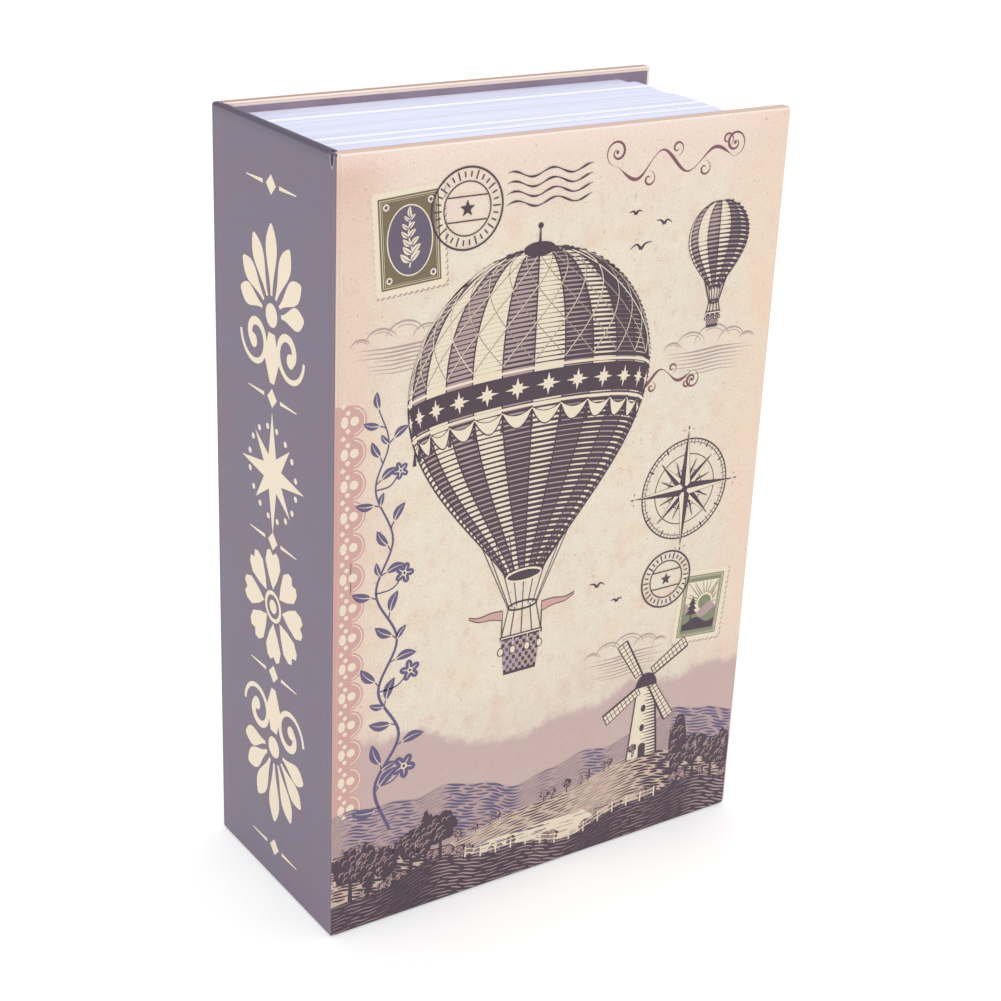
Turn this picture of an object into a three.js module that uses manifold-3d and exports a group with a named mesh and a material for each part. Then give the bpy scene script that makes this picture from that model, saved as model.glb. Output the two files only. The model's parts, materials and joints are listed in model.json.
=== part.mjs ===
// A book diversion safe, closed and standing upright, in millimetres with +Z up.
// The spine faces -X, the fore edge +X and the front cover -Y. The origin is the middle of the foot.
import * as THREE from "three";
import { mergeVertices } from "three/addons/utils/BufferGeometryUtils.js";
import Module from "manifold-3d";

// Driving dimensions
const book = { height: 180, width: 116, thickness: 54 };
const paper = { thickness: 0.3, turnIn: 12 };
const greyBoard = { thickness: 2 };
const lining = { thickness: 0.3, edgeMargin: 1, foreMargin: 1.8, step: 0.5 };
const joint = { gap: 1, lipSetback: 0.6 };
const fit = { glue: 0.02, seat: 0.05, pin: 0.06, running: 0.3, cover: 0.34, through: 1 };

const pages = { edgeRecess: 2.25, foreRecess: 4.8, foreRadius: 4, spineRadius: 0.8, step: 0.55 };
const blockShell = { wall: 6.5, floor: 2 };
const boss = { radius: 4, height: 3, holeRadius: 1.4, holeFloor: 0.9 };
const bossInset = { spine: 18, fore: 12, end: 12 };

const tray = { sheet: 1, play: 0.22, lip: 6.1, hingeLip: 12.3, mouthRadius: 3 };
const lid = { recess: 4.9, sheet: 1.2, foreGap: 0.7, endGap: 0.75, hingeGap: 2.6, cornerRadius: 3 };
const hinge = { inset: 8.1, rise: 0.8, radius: 2, length: 26, split: 0.4, endInset: 28.5, pinRadius: 1 };
const pinHead = { radius: 1.6, height: 0.8 };
const leaf = { sheet: 1, fixedReach: 7.6, lidReach: 11, rivetSpread: 14, fixedRivet: 4.9, lidRivet: 7.2 };
const rivet = { shank: 1, hole: 1.1, head: 1.9, dome: 0.9, tail: 1.5, tailHeight: 0.6 };
const trayScrew = { shank: 1.25, length: 4.6, head: 2.6, dome: 1.7, recess: 0.9, slot: 0.6, reach: 1.5 };
const lockScrew = { shank: 1, length: 4.5, head: 2, dome: 1.3, recess: 0.7, slot: 0.5, reach: 1.2, hole: 1.1 };

const dial = { radius: 7.5, width: 4.2, bore: 3.5, pitch: 6.5, count: 3, digits: 10, notch: 0.35, top: 14.6 };
const cam = { sleeve: 3.4, bore: 1.6, length: 6.3, rise: 2.9, flange: 4.6, flangeWidth: 1.1, flat: 3.9 };
const axle = { radius: 1.5, hole: 1.55, overhang: 0.4 };
const lock = { foreGap: 2.18, axleDepth: 2.7, z: 2.5 };
const bezel = { halfWidth: 10.5, low: -30, high: 25, thickness: 2.95, radius: 2.5 };
const bezelGap = { round: 0.4, side: 0.25 };
const lockCase = {
  wall: 1.2,
  innerSpine: 9.3,
  innerFore: 8.1,
  low: -24,
  high: 19.2,
  flangeReach: 5,
  innerFloor: 9.2,
  bracketZ: -5,
  bracketFloor: 6.5,
};
const lockScrewAt = { x: 6.5, fromBody: 2.5 };
const dialWindow = { halfWidth: 7.6, endGap: 1.6 };

const latch = { z: -14, travel: 5.6 };
const bolt = { top: 0.1, thickness: 1.6, halfHeight: 3.5, mouthGap: 0.98, wallGap: 0.3 };
const carriage = { spineSide: 6, foreSide: 2, halfHeight: 4, bottom: 7.85 };
const stem = { spineSide: 4, halfHeight: 2.2, bottom: 3.9, play: 0.1 };
const thumb = { spineSide: 7.5, foreSide: 3.5, halfHeight: 5, height: 1.5, lift: 0.1, radius: 1.5 };
const ridge = { count: 3, pitch: 2.4, width: 0.9, height: 0.3, margin: 1 };
const lockingBar = { halfWidth: 1.5, thickness: 1, end: 13 };
const barFinger = { width: 0.9, height: 0.9, tip: 4.2 };
const detent = { sheet: 0.3, gap: 0.25, tail: 1.1, tailFall: 0.7, root: 7, fingerWidth: 3 };
const detentStrip = { width: 1.6, low: -0.6, high: 17 };
const resetLever = { x: 6.5, z: 10, travel: 2.5, neck: 1, neckLength: 2, headHeight: 1 };
const resetKnob = { halfWidth: 1.5, length: 3.4, height: 1.45 };

const arcSteps = 6;
const rodSides = 24;
const dialSteps = 4;
const quarter = Math.PI / 2;

// Places that follow from the sizes
const left = -book.width / 2;
const right = book.width / 2;
const front = -book.thickness / 2;
const back = book.thickness / 2;
const midZ = book.height / 2;
const boardInner = paper.thickness + fit.glue + greyBoard.thickness + fit.glue;
const coverStack = boardInner + paper.thickness;
const linedStack = coverStack + fit.glue + lining.thickness;
const spineHalf = book.thickness / 2 - linedStack - fit.cover;

const blockLeft = left + linedStack + fit.glue;
const blockRight = right - pages.foreRecess;
const blockFront = front + linedStack + fit.cover;
const blockBack = back - linedStack - fit.glue;
const blockLow = pages.edgeRecess;
const blockHigh = book.height - pages.edgeRecess;
const wellLeft = blockLeft + blockShell.wall;
const wellRight = blockRight - blockShell.wall;
const wellLow = blockLow + blockShell.wall;
const wellHigh = blockHigh - blockShell.wall;
const wellFloor = blockBack - blockShell.floor;

const lidOuter = blockFront + lid.recess;
const lidInner = lidOuter + lid.sheet;
const trayLeft = wellLeft + tray.play;
const trayRight = wellRight - tray.play;
const trayLow = wellLow + tray.play;
const trayHigh = wellHigh - tray.play;
const lipOuter = lidInner + fit.running;
const trayBack = wellFloor - boss.height - fit.seat;
const mouthLeft = trayLeft + tray.hingeLip;
const mouthRight = trayRight - tray.lip;
const hingeX = trayLeft + hinge.inset;
const hingeY = lidOuter - hinge.rise;
const lidHalf = (wellHigh - wellLow) / 2 - lid.endGap;
const bossXs = [trayLeft + bossInset.spine, trayRight - bossInset.fore];
const bossZs = [trayLow + bossInset.end, trayHigh - bossInset.end];

// Places of the lock's axle, from the hinge axis, and of the lock's parts, from its axle
const lockReach = lockCase.innerFore + lockCase.wall + lock.foreGap;
const lockX = mouthRight - lockReach - hingeX;
const boltTip = lockReach - bolt.mouthGap;
const lidOuterAtLock = -lock.axleDepth;
const lidInnerAtLock = lidOuterAtLock + lid.sheet;
const bezelBack = lidOuterAtLock - fit.seat;
const bezelFront = bezelBack - bezel.thickness;
const caseTop = lidInnerAtLock + fit.seat;
const caseFloor = lockCase.innerFloor + lockCase.wall;
const dialZs = Array.from({ length: dial.count }, (_, i) => dial.top - i * dial.pitch);
const lockScrewZs = [lockCase.low - lockScrewAt.fromBody, lockCase.high + lockScrewAt.fromBody];

// Shape helpers
const wasm = await Module();
wasm.setup();

function solidOf(geometry) {
  const bare = geometry.clone();
  bare.deleteAttribute("normal");
  bare.deleteAttribute("uv");
  const merged = mergeVertices(bare);
  return new wasm.Manifold(
    new wasm.Mesh({
      numProp: 3,
      vertProperties: new Float32Array(merged.attributes.position.array),
      triVerts: new Uint32Array(merged.index.array),
    }),
  );
}

function geometryOf(solid) {
  const mesh = solid.getMesh();
  const geometry = new THREE.BufferGeometry();
  geometry.setAttribute("position", new THREE.BufferAttribute(mesh.vertProperties, mesh.numProp));
  geometry.setIndex(new THREE.BufferAttribute(mesh.triVerts, 1));
  geometry.computeVertexNormals();
  return geometry;
}

function fuse(...pieces) {
  return geometryOf(pieces.map(solidOf).reduce((a, b) => a.add(b)));
}

function carve(body, ...tools) {
  return geometryOf(tools.map(solidOf).reduce((a, b) => a.subtract(b), solidOf(body)));
}

// A box between two values on each axis, given in either order.
function span([x0, x1], [y0, y1], [z0, z1]) {
  const box = new THREE.BoxGeometry(Math.abs(x1 - x0), Math.abs(y1 - y0), Math.abs(z1 - z0));
  return box.translate((x0 + x1) / 2, (y0 + y1) / 2, (z0 + z1) / 2);
}

// A plate with rounded corners that lies in the X-Z plane.
function roundedPlate([x0, x1], [y0, y1], [z0, z1], radius) {
  const outline = new THREE.Shape();
  outline.absarc(x1 - radius, z0 + radius, radius, -quarter, 0);
  outline.absarc(x1 - radius, z1 - radius, radius, 0, quarter);
  outline.absarc(x0 + radius, z1 - radius, radius, quarter, 2 * quarter);
  outline.absarc(x0 + radius, z0 + radius, radius, 2 * quarter, 3 * quarter);
  outline.closePath();
  const depth = Math.abs(y1 - y0);
  const plate = new THREE.ExtrudeGeometry(outline, { depth, bevelEnabled: false, curveSegments: arcSteps });
  return plate.rotateX(quarter).translate(0, Math.max(y0, y1), 0);
}

function rodAlongY(radius, [y0, y1], x, z, sides = rodSides) {
  const rod = new THREE.CylinderGeometry(radius, radius, Math.abs(y1 - y0), sides);
  return rod.translate(x, (y0 + y1) / 2, z);
}

function rodAlongZ(radius, [z0, z1], x, y, sides = rodSides) {
  const rod = new THREE.CylinderGeometry(radius, radius, Math.abs(z1 - z0), sides);
  return rod.rotateX(quarter).translate(x, y, (z0 + z1) / 2);
}

// An outline of X-Y points, extruded along Z.
function prism(points, [z0, z1]) {
  const outline = new THREE.Shape(points.map(([x, y]) => new THREE.Vector2(x, y)));
  return new THREE.ExtrudeGeometry(outline, { depth: z1 - z0, bevelEnabled: false }).translate(0, 0, z0);
}

function pieceOf(name, geometry, material) {
  const mesh = new THREE.Mesh(geometry, material);
  mesh.name = name;
  return mesh;
}

// Materials
function finish(color, roughness, metalness = 0) {
  return new THREE.MeshStandardMaterial({ color, roughness, metalness });
}

const finishes = {
  board: finish(0x9a938a, 0.95),
  coverPrint: finish(0xeed6b4, 0.55),
  spinePrint: finish(0x857b8e, 0.55),
  liningPaper: finish(0x857b95, 0.75),
  pageMoulding: finish(0xdde0f6, 0.45),
  coatedSteel: finish(0x23252a, 0.5, 0.3),
  hingeSteel: finish(0xb4b5b8, 0.35, 0.9),
  zincScrew: finish(0xc6c7ca, 0.3, 0.95),
  lockPlastic: finish(0x1b1c1f, 0.4),
  dialPlastic: finish(0xe6e2d8, 0.45),
  springSteel: finish(0xa9acb2, 0.3, 0.95),
};

// A cover of the case: grey board, printed paper turned in over its four edges, and a lining.
// Depths run inwards from the outer face at 0: inward is 1 for the front cover, -1 for the back cover.
function coverLayer(inward, [x0, x1], [v0, v1], [z0, z1]) {
  return span([x0, x1], [inward * v0, inward * v1], [z0, z1]);
}

function coverPaper(inward) {
  const [x0, x1] = [joint.gap, book.width];
  const whole = coverLayer(inward, [x0, x1], [0, coverStack], [0, book.height]);
  const pocket = coverLayer(
    inward,
    [x0 + paper.thickness, x1 - paper.thickness],
    [paper.thickness, boardInner],
    [paper.thickness, book.height - paper.thickness],
  );
  const window = coverLayer(
    inward,
    [x0 + paper.turnIn, x1 - paper.turnIn],
    [paper.thickness, coverStack + fit.through],
    [paper.turnIn, book.height - paper.turnIn],
  );
  return carve(whole, pocket, window);
}

function coverBoard(inward) {
  const edge = paper.thickness + fit.glue;
  const width = [joint.gap + edge, book.width - edge];
  return coverLayer(inward, width, [edge, edge + greyBoard.thickness], [edge, book.height - edge]);
}

function coverLining(inward) {
  const outer = coverLayer(
    inward,
    [joint.gap + lining.edgeMargin, book.width - lining.foreMargin],
    [coverStack + fit.glue, linedStack],
    [lining.edgeMargin, book.height - lining.edgeMargin],
  );
  const inset = paper.turnIn + lining.step;
  const centre = coverLayer(
    inward,
    [joint.gap + inset, book.width - inset],
    [boardInner + fit.glue, linedStack],
    [inset, book.height - inset],
  );
  return fuse(outer, centre);
}

function cover(inward, names) {
  const group = new THREE.Group();
  group.position.set(left, -inward * (book.thickness / 2), 0);
  group.add(pieceOf(names.board, coverBoard(inward), finishes.board));
  group.add(pieceOf(names.paper, coverPaper(inward), finishes.coverPrint));
  group.add(pieceOf(names.lining, coverLining(inward), finishes.liningPaper));
  return group;
}

// The spine: its paper reaches past the board to the folds at both corners.
function spine() {
  const group = new THREE.Group();
  group.position.x = left;
  const lipEnd = book.thickness / 2 - joint.lipSetback;
  const edge = paper.thickness + fit.glue;
  const sheet = span([0, paper.thickness], [-lipEnd, lipEnd], [0, book.height]);
  const wrap = span([0, coverStack], [-spineHalf, spineHalf], [0, book.height]);
  const pocketHalf = spineHalf - paper.thickness;
  const pocket = span(
    [paper.thickness, boardInner],
    [-pocketHalf, pocketHalf],
    [paper.thickness, book.height - paper.thickness],
  );
  const windowHalf = spineHalf - paper.turnIn;
  const window = span(
    [paper.thickness, coverStack + fit.through],
    [-windowHalf, windowHalf],
    [paper.turnIn, book.height - paper.turnIn],
  );
  group.add(pieceOf("spine_paper", carve(fuse(sheet, wrap), pocket, window), finishes.spinePrint));

  const boardHalf = spineHalf - edge;
  const board = span([edge, edge + greyBoard.thickness], [-boardHalf, boardHalf], [edge, book.height - edge]);
  group.add(pieceOf("spine_board", board, finishes.board));

  const liningHalf = spineHalf - lining.edgeMargin;
  const outer = span(
    [coverStack + fit.glue, linedStack],
    [-liningHalf, liningHalf],
    [lining.edgeMargin, book.height - lining.edgeMargin],
  );
  const inset = paper.turnIn + lining.step;
  const centreHalf = spineHalf - inset;
  const centre = span(
    [boardInner + fit.glue, linedStack],
    [-centreHalf, centreHalf],
    [inset, book.height - inset],
  );
  group.add(pieceOf("spine_lining", fuse(outer, centre), finishes.liningPaper));
  return group;
}

// The steps of the moulded page lines, from the back of the block to its front:
// how far along the block's depth each ring lies, and how many page steps it is drawn in.
const pageRingShares = [
  { depthShare: 0, insetShare: 0.65 },
  { depthShare: 0.084, insetShare: 0.65 },
  { depthShare: 0.093, insetShare: 0 },
  { depthShare: 0.204, insetShare: 0 },
  { depthShare: 0.21, insetShare: 1 },
  { depthShare: 0.357, insetShare: 0.9 },
  { depthShare: 0.4, insetShare: 0.2 },
  { depthShare: 0.512, insetShare: 0.2 },
  { depthShare: 0.52, insetShare: 0.35 },
  { depthShare: 0.617, insetShare: 0 },
  { depthShare: 0.623, insetShare: 1 },
  { depthShare: 0.707, insetShare: 0.3 },
  { depthShare: 0.713, insetShare: 1.15 },
  { depthShare: 0.99, insetShare: 0.75 },
  { depthShare: 1, insetShare: 1.5 },
];

// One ring of the block's outside: its head, tail and fore edge are drawn in by the inset.
function pageRing(y, inset) {
  const x1 = blockRight - inset;
  const z0 = blockLow + inset;
  const z1 = blockHigh - inset;
  const fore = pages.foreRadius;
  const inner = pages.spineRadius;
  const corners = [
    { x: x1 - fore, z: z0 + fore, radius: fore, from: -quarter },
    { x: x1 - fore, z: z1 - fore, radius: fore, from: 0 },
    { x: blockLeft + inner, z: z1 - inner, radius: inner, from: quarter },
    { x: blockLeft + inner, z: z0 + inner, radius: inner, from: 2 * quarter },
  ];
  return corners.flatMap(({ x, z, radius, from }) =>
    Array.from({ length: arcSteps + 1 }, (_, i) => {
      const angle = from + (quarter * i) / arcSteps;
      return [x + radius * Math.cos(angle), y, z + radius * Math.sin(angle)];
    }),
  );
}

// A closed body through rings of equally many points, the first ring at its back.
function loft(rings) {
  const count = rings[0].length;
  const faces = [];
  for (let r = 0; r + 1 < rings.length; r++) {
    for (let i = 0; i < count; i++) {
      const a = r * count + i;
      const b = r * count + ((i + 1) % count);
      faces.push(a, b, a + count, b, b + count, a + count);
    }
  }
  const last = (rings.length - 1) * count;
  for (let i = 1; i + 1 < count; i++) {
    faces.push(0, i + 1, i, last, last + i, last + i + 1);
  }
  const geometry = new THREE.BufferGeometry();
  geometry.setAttribute("position", new THREE.Float32BufferAttribute(rings.flat(2), 3));
  geometry.setIndex(faces);
  return geometry;
}

function pageBlock() {
  const depth = blockBack - blockFront;
  const rings = pageRingShares.map(({ depthShare, insetShare }) =>
    pageRing(blockBack - depth * depthShare, pages.step * insetShare),
  );
  const well = span([wellLeft, wellRight], [blockFront - fit.through, wellFloor], [wellLow, wellHigh]);
  const places = bossXs.flatMap((x) => bossZs.map((z) => [x, z]));
  const bossTop = wellFloor - boss.height;
  const bossRoot = wellFloor + blockShell.floor / 2;
  const bosses = places.map(([x, z]) => rodAlongY(boss.radius, [bossTop, bossRoot], x, z));
  const holes = places.map(([x, z]) =>
    rodAlongY(boss.holeRadius, [bossTop - fit.through, blockBack - boss.holeFloor], x, z),
  );
  return carve(fuse(carve(loft(rings), well), ...bosses), ...holes);
}

// A headed fastener along +Y: its head stands on y 0 and its shank points to -Y.
function fastener(size, tail = null) {
  const profile = [new THREE.Vector2(0, -size.length)];
  if (tail) {
    profile.push(new THREE.Vector2(tail.radius, -size.length));
    profile.push(new THREE.Vector2(tail.radius, -size.length + tail.height));
    profile.push(new THREE.Vector2(size.shank, -size.length + tail.height));
  } else {
    profile.push(new THREE.Vector2(size.shank, -size.length));
  }
  profile.push(new THREE.Vector2(size.shank, 0));
  for (let i = 0; i < arcSteps; i++) {
    const angle = (quarter * i) / arcSteps;
    profile.push(new THREE.Vector2(size.head * Math.cos(angle), size.dome * Math.sin(angle)));
  }
  profile.push(new THREE.Vector2(0, size.dome));
  return new THREE.LatheGeometry(profile, rodSides);
}

function screw(size) {
  const depth = [size.dome - size.recess, size.dome + fit.through];
  const across = span([-size.reach, size.reach], depth, [-size.slot / 2, size.slot / 2]);
  const along = span([-size.slot / 2, size.slot / 2], depth, [-size.reach, size.reach]);
  return carve(fastener(size), across, along);
}

function rivetThrough(grip) {
  const length = grip + rivet.tailHeight;
  return fastener({ ...rivet, length }, { radius: rivet.tail, height: rivet.tailHeight });
}

// The steel tray: an open box with a lip round its mouth.
function steelTray() {
  const outer = span([trayLeft, trayRight], [lipOuter, trayBack], [trayLow, trayHigh]);
  const inner = span(
    [trayLeft + tray.sheet, trayRight - tray.sheet],
    [lipOuter + tray.sheet, trayBack - tray.sheet],
    [trayLow + tray.sheet, trayHigh - tray.sheet],
  );
  const throughLip = [lipOuter - fit.through, lipOuter + tray.sheet + fit.through];
  const mouth = roundedPlate(
    [mouthLeft, mouthRight],
    throughLip,
    [trayLow + tray.lip, trayHigh - tray.lip],
    tray.mouthRadius,
  );
  const throughFloor = [trayBack - tray.sheet - fit.through, trayBack + fit.through];
  const screwHoles = bossXs.flatMap((x) => bossZs.map((z) => rodAlongY(boss.holeRadius, throughFloor, x, z)));
  const rivetHoles = hingeZs.flatMap((hz) =>
    rivetOffsets.map((dz) => rodAlongY(rivet.hole, throughLip, hingeX - leaf.fixedRivet, midZ + hz + dz)),
  );
  return carve(outer, inner, mouth, ...screwHoles, ...rivetHoles);
}

function trayScrews() {
  const headSeat = trayBack - tray.sheet - fit.seat;
  return bossXs.flatMap((x, i) =>
    bossZs.map((z, j) => {
      const mesh = pieceOf(`tray_screw_${2 * i + j + 1}`, screw(trayScrew), finishes.zincScrew);
      mesh.position.set(x, headSeat, z);
      mesh.rotation.x = Math.PI;
      return mesh;
    }),
  );
}

// The butt hinges of the lid, drawn from the hinge's own middle on its axis
const hingeZs = [lidHalf - hinge.endInset, hinge.endInset - lidHalf];
const hingeNames = ["upper", "lower"];
const rivetOffsets = [leaf.rivetSpread / 2, -leaf.rivetSpread / 2];
const knuckleLength = (hinge.length - 2 * hinge.split) / 3;
const middleKnuckle = [-knuckleLength / 2, knuckleLength / 2];
const outerKnuckles = [1, -1].map((side) => [
  side * (knuckleLength / 2 + hinge.split),
  side * (hinge.length / 2),
]);
const fixedLeafBack = lipOuter - hingeY - fit.seat;
const lidLeafBack = lidOuter - hingeY - fit.seat;

// A leaf's plate reaches the axis only beside its own knuckles.
function hingeLeaf(knuckles, side, reach, leafBack, rivetAt) {
  const depth = [leafBack - leaf.sheet, leafBack];
  const clear = side * (hinge.radius + fit.running);
  const half = hinge.length / 2;
  const plate = span([clear, side * reach], depth, [-half, half]);
  const arms = knuckles.map((z) => span([0, side * reach], depth, z));
  const barrels = knuckles.map((z) => rodAlongZ(hinge.radius, z, 0, 0));
  const bore = rodAlongZ(hinge.pinRadius + fit.pin, [-half - fit.through, half + fit.through], 0, 0);
  const holes = rivetOffsets.map((z) =>
    rodAlongY(rivet.hole, [leafBack - leaf.sheet - fit.through, leafBack + fit.through], side * rivetAt, z),
  );
  return carve(fuse(plate, ...arms, ...barrels), bore, ...holes);
}

function hingePin() {
  const half = hinge.length / 2 + fit.seat;
  return fuse(
    rodAlongZ(hinge.pinRadius, [-half - pinHead.height / 2, half + pinHead.height / 2], 0, 0),
    rodAlongZ(pinHead.radius, [half, half + pinHead.height], 0, 0),
    rodAlongZ(pinHead.radius, [-half - pinHead.height, -half], 0, 0),
  );
}

function leafRivets(name, x, leafBack, sheetBelow) {
  const grip = leaf.sheet + fit.seat + sheetBelow + 2 * fit.seat;
  return rivetOffsets.map((z, i) => {
    const mesh = pieceOf(`${name}_rivet_${i + 1}`, rivetThrough(grip), finishes.hingeSteel);
    mesh.position.set(x, leafBack - leaf.sheet - fit.seat, z);
    mesh.rotation.x = Math.PI;
    return mesh;
  });
}

function fixedHingeHalf(name) {
  const group = new THREE.Group();
  const fixedLeaf = hingeLeaf(outerKnuckles, -1, leaf.fixedReach, fixedLeafBack, leaf.fixedRivet);
  group.add(pieceOf(`${name}_hinge_fixed_leaf`, fixedLeaf, finishes.hingeSteel));
  group.add(pieceOf(`${name}_hinge_pin`, hingePin(), finishes.hingeSteel));
  group.add(...leafRivets(`${name}_fixed_leaf`, -leaf.fixedRivet, fixedLeafBack, tray.sheet));
  return group;
}

function lidHingeHalf(name) {
  const group = new THREE.Group();
  const lidLeaf = hingeLeaf([middleKnuckle], 1, leaf.lidReach, lidLeafBack, leaf.lidRivet);
  group.add(pieceOf(`${name}_hinge_lid_leaf`, lidLeaf, finishes.hingeSteel));
  group.add(...leafRivets(`${name}_lid_leaf`, leaf.lidRivet, lidLeafBack, lid.sheet));
  return group;
}

// The lid's plate, drawn from the hinge axis, with the openings that its lock needs.
function lidPlate() {
  const faces = [lidOuter - hingeY, lidInner - hingeY];
  const through = [faces[0] - fit.through, faces[1] + fit.through];
  const plate = roundedPlate(
    [lid.hingeGap, wellRight - lid.foreGap - hingeX],
    faces,
    [-lidHalf, lidHalf],
    lid.cornerRadius,
  );
  const window = span(
    [lockX - dialWindow.halfWidth, lockX + dialWindow.halfWidth],
    through,
    [
      lock.z + dialZs[dial.count - 1] - dial.width / 2 - dialWindow.endGap,
      lock.z + dialZs[0] + dial.width / 2 + dialWindow.endGap,
    ],
  );
  const slot = stemSlot(through, fit.running).translate(lockX, 0, lock.z);
  const screwHoles = lockScrewZs.flatMap((z) =>
    [-lockScrewAt.x, lockScrewAt.x].map((x) => rodAlongY(lockScrew.hole, through, lockX + x, lock.z + z)),
  );
  const rivetHoles = hingeZs.flatMap((hz) =>
    rivetOffsets.map((dz) => rodAlongY(rivet.hole, through, leaf.lidRivet, hz + dz)),
  );
  return carve(plate, window, slot, ...screwHoles, ...rivetHoles);
}

// The room that the stem of the thumb slide needs along its travel.
function stemSlot(depth, gap) {
  return span(
    [-stem.spineSide - gap, latch.travel + gap],
    depth,
    [latch.z - stem.halfHeight - gap, latch.z + stem.halfHeight + gap],
  );
}

function lockBezel() {
  const plate = roundedPlate(
    [-bezel.halfWidth, bezel.halfWidth],
    [bezelFront, bezelBack],
    [bezel.low, bezel.high],
    bezel.radius,
  );
  const dialSlots = dialZs.map((z) => {
    const half = dial.width / 2 + bezelGap.side;
    return rodAlongZ(dial.radius + bezelGap.round, [z - half, z + half], 0, 0, dial.digits * dialSteps);
  });
  const camChannel = rodAlongZ(
    cam.flange + fit.running,
    [lockCase.bracketZ + lockCase.wall, lockCase.high - lockCase.wall],
    0,
    0,
  );
  const slot = stemSlot([bezelFront - fit.through, bezelBack + fit.through], fit.running);
  const tip = caseTop + lockCase.wall - lockScrew.length;
  const pilot = [tip, bezelBack + fit.through];
  const screwHoles = lockScrewZs.flatMap((z) =>
    [-lockScrewAt.x, lockScrewAt.x].map((x) => rodAlongY(lockScrew.hole, pilot, x, z)),
  );
  return carve(plate, ...dialSlots, camChannel, slot, ...screwHoles);
}

// The case under the lid: an open box with a flange at each end and a bracket for the axle.
function lockCaseShell() {
  const outerX = [-lockCase.innerSpine - lockCase.wall, lockCase.innerFore + lockCase.wall];
  const innerX = [-lockCase.innerSpine, lockCase.innerFore];
  const box = span(outerX, [caseTop, caseFloor], [lockCase.low, lockCase.high]);
  const flange = span(
    outerX,
    [caseTop, caseTop + lockCase.wall],
    [lockCase.low - lockCase.flangeReach, lockCase.high + lockCase.flangeReach],
  );
  const room = span(
    innerX,
    [caseTop - fit.through, lockCase.innerFloor],
    [lockCase.low + lockCase.wall, lockCase.high - lockCase.wall],
  );
  const bracket = span(
    [innerX[0] - lockCase.wall / 2, innerX[1] + lockCase.wall / 2],
    [caseTop, lockCase.bracketFloor],
    [lockCase.bracketZ, lockCase.bracketZ + lockCase.wall],
  );
  const axleHole = rodAlongZ(
    axle.hole,
    [lockCase.bracketZ - fit.through, lockCase.high + fit.through],
    0,
    0,
  );
  const boltSlot = span(
    [lockCase.innerFore - fit.through, lockCase.innerFore + lockCase.wall + fit.through],
    [bolt.top - bolt.wallGap, bolt.top + bolt.thickness + bolt.wallGap],
    [latch.z - bolt.halfHeight - bolt.wallGap, latch.z + bolt.halfHeight + bolt.wallGap],
  );
  const leverSlot = span(
    [resetLever.x - resetLever.neck - stem.play, resetLever.x + resetLever.neck + stem.play],
    [lockCase.innerFloor - fit.through, caseFloor + fit.through],
    [resetLever.z - stem.play, resetLever.z + resetLever.neckLength + resetLever.travel + stem.play],
  );
  const screwHoles = lockScrewZs.flatMap((z) =>
    [-lockScrewAt.x, lockScrewAt.x].map((x) =>
      rodAlongY(lockScrew.hole, [caseTop - fit.through, caseTop + lockCase.wall + fit.through], x, z),
    ),
  );
  return carve(fuse(carve(fuse(box, flange), room), bracket), axleHole, boltSlot, leverSlot, ...screwHoles);
}

// A number dial: ten faces with a notch between each two, so that a finger can turn it.
function dialRing() {
  const points = [];
  for (let digit = 0; digit < dial.digits; digit++) {
    for (let i = 0; i < dialSteps; i++) {
      const angle = (2 * Math.PI * (digit + i / dialSteps)) / dial.digits;
      const radius = i === 0 ? dial.radius - dial.notch : dial.radius;
      points.push([radius * Math.cos(angle), radius * Math.sin(angle)]);
    }
  }
  const half = dial.width / 2;
  const bore = rodAlongZ(dial.bore, [-half - fit.through, half + fit.through], 0, 0);
  return carve(prism(points, [-half, half]), bore);
}

// A cam turns with its dial, and its flat is the gate that lets a finger of the locking bar pass.
function dialCam() {
  const flangeBottom = cam.rise - cam.length;
  const flangeTop = flangeBottom + cam.flangeWidth;
  const sleeve = rodAlongZ(cam.sleeve, [flangeBottom, cam.rise], 0, 0);
  const flange = rodAlongZ(cam.flange, [flangeBottom, flangeTop], 0, 0);
  const gate = span(
    [-cam.flange, cam.flange],
    [cam.flat, cam.flange + fit.through],
    [flangeBottom - fit.through, flangeTop + fit.through],
  );
  const bore = rodAlongZ(cam.bore, [flangeBottom - fit.through, cam.rise + fit.through], 0, 0);
  return carve(fuse(sleeve, flange), gate, bore);
}

function dialAxle() {
  return rodAlongZ(axle.radius, [lockCase.bracketZ - axle.overhang, lockCase.high + axle.overhang], 0, 0);
}

// A leaf spring on the case's wall: one bent finger rests in a notch of each dial.
function detentSpring() {
  const wallX = -lockCase.innerSpine + fit.seat;
  const crest = -dial.radius - detent.gap;
  const blade = [
    [wallX, detent.root],
    [wallX + detent.sheet, detent.root],
    [crest, 0],
    [crest - detent.tailFall, -detent.tail],
    [crest - detent.tailFall - detent.sheet, -detent.tail],
    [crest - detent.sheet, 0],
  ];
  const fingers = dialZs.map((z) => prism(blade, [z - detent.fingerWidth / 2, z + detent.fingerWidth / 2]));
  const strip = span(
    [wallX, wallX + detent.sheet],
    [detent.root - detent.sheet, detent.root + detentStrip.width],
    [detentStrip.low, detentStrip.high],
  );
  return fuse(...fingers, strip);
}

function latchBolt() {
  const depth = [bolt.top, carriage.bottom];
  const height = [latch.z - carriage.halfHeight, latch.z + carriage.halfHeight];
  const block = span([-carriage.spineSide, carriage.foreSide], depth, height);
  const bar = span(
    [0, boltTip],
    [bolt.top, bolt.top + bolt.thickness],
    [latch.z - bolt.halfHeight, latch.z + bolt.halfHeight],
  );
  const pocket = span(
    [-stem.spineSide - stem.play, stem.play],
    [bolt.top - fit.through, stem.bottom + stem.play],
    [latch.z - stem.halfHeight - stem.play, latch.z + stem.halfHeight + stem.play],
  );
  return carve(fuse(block, bar), pocket);
}

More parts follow.
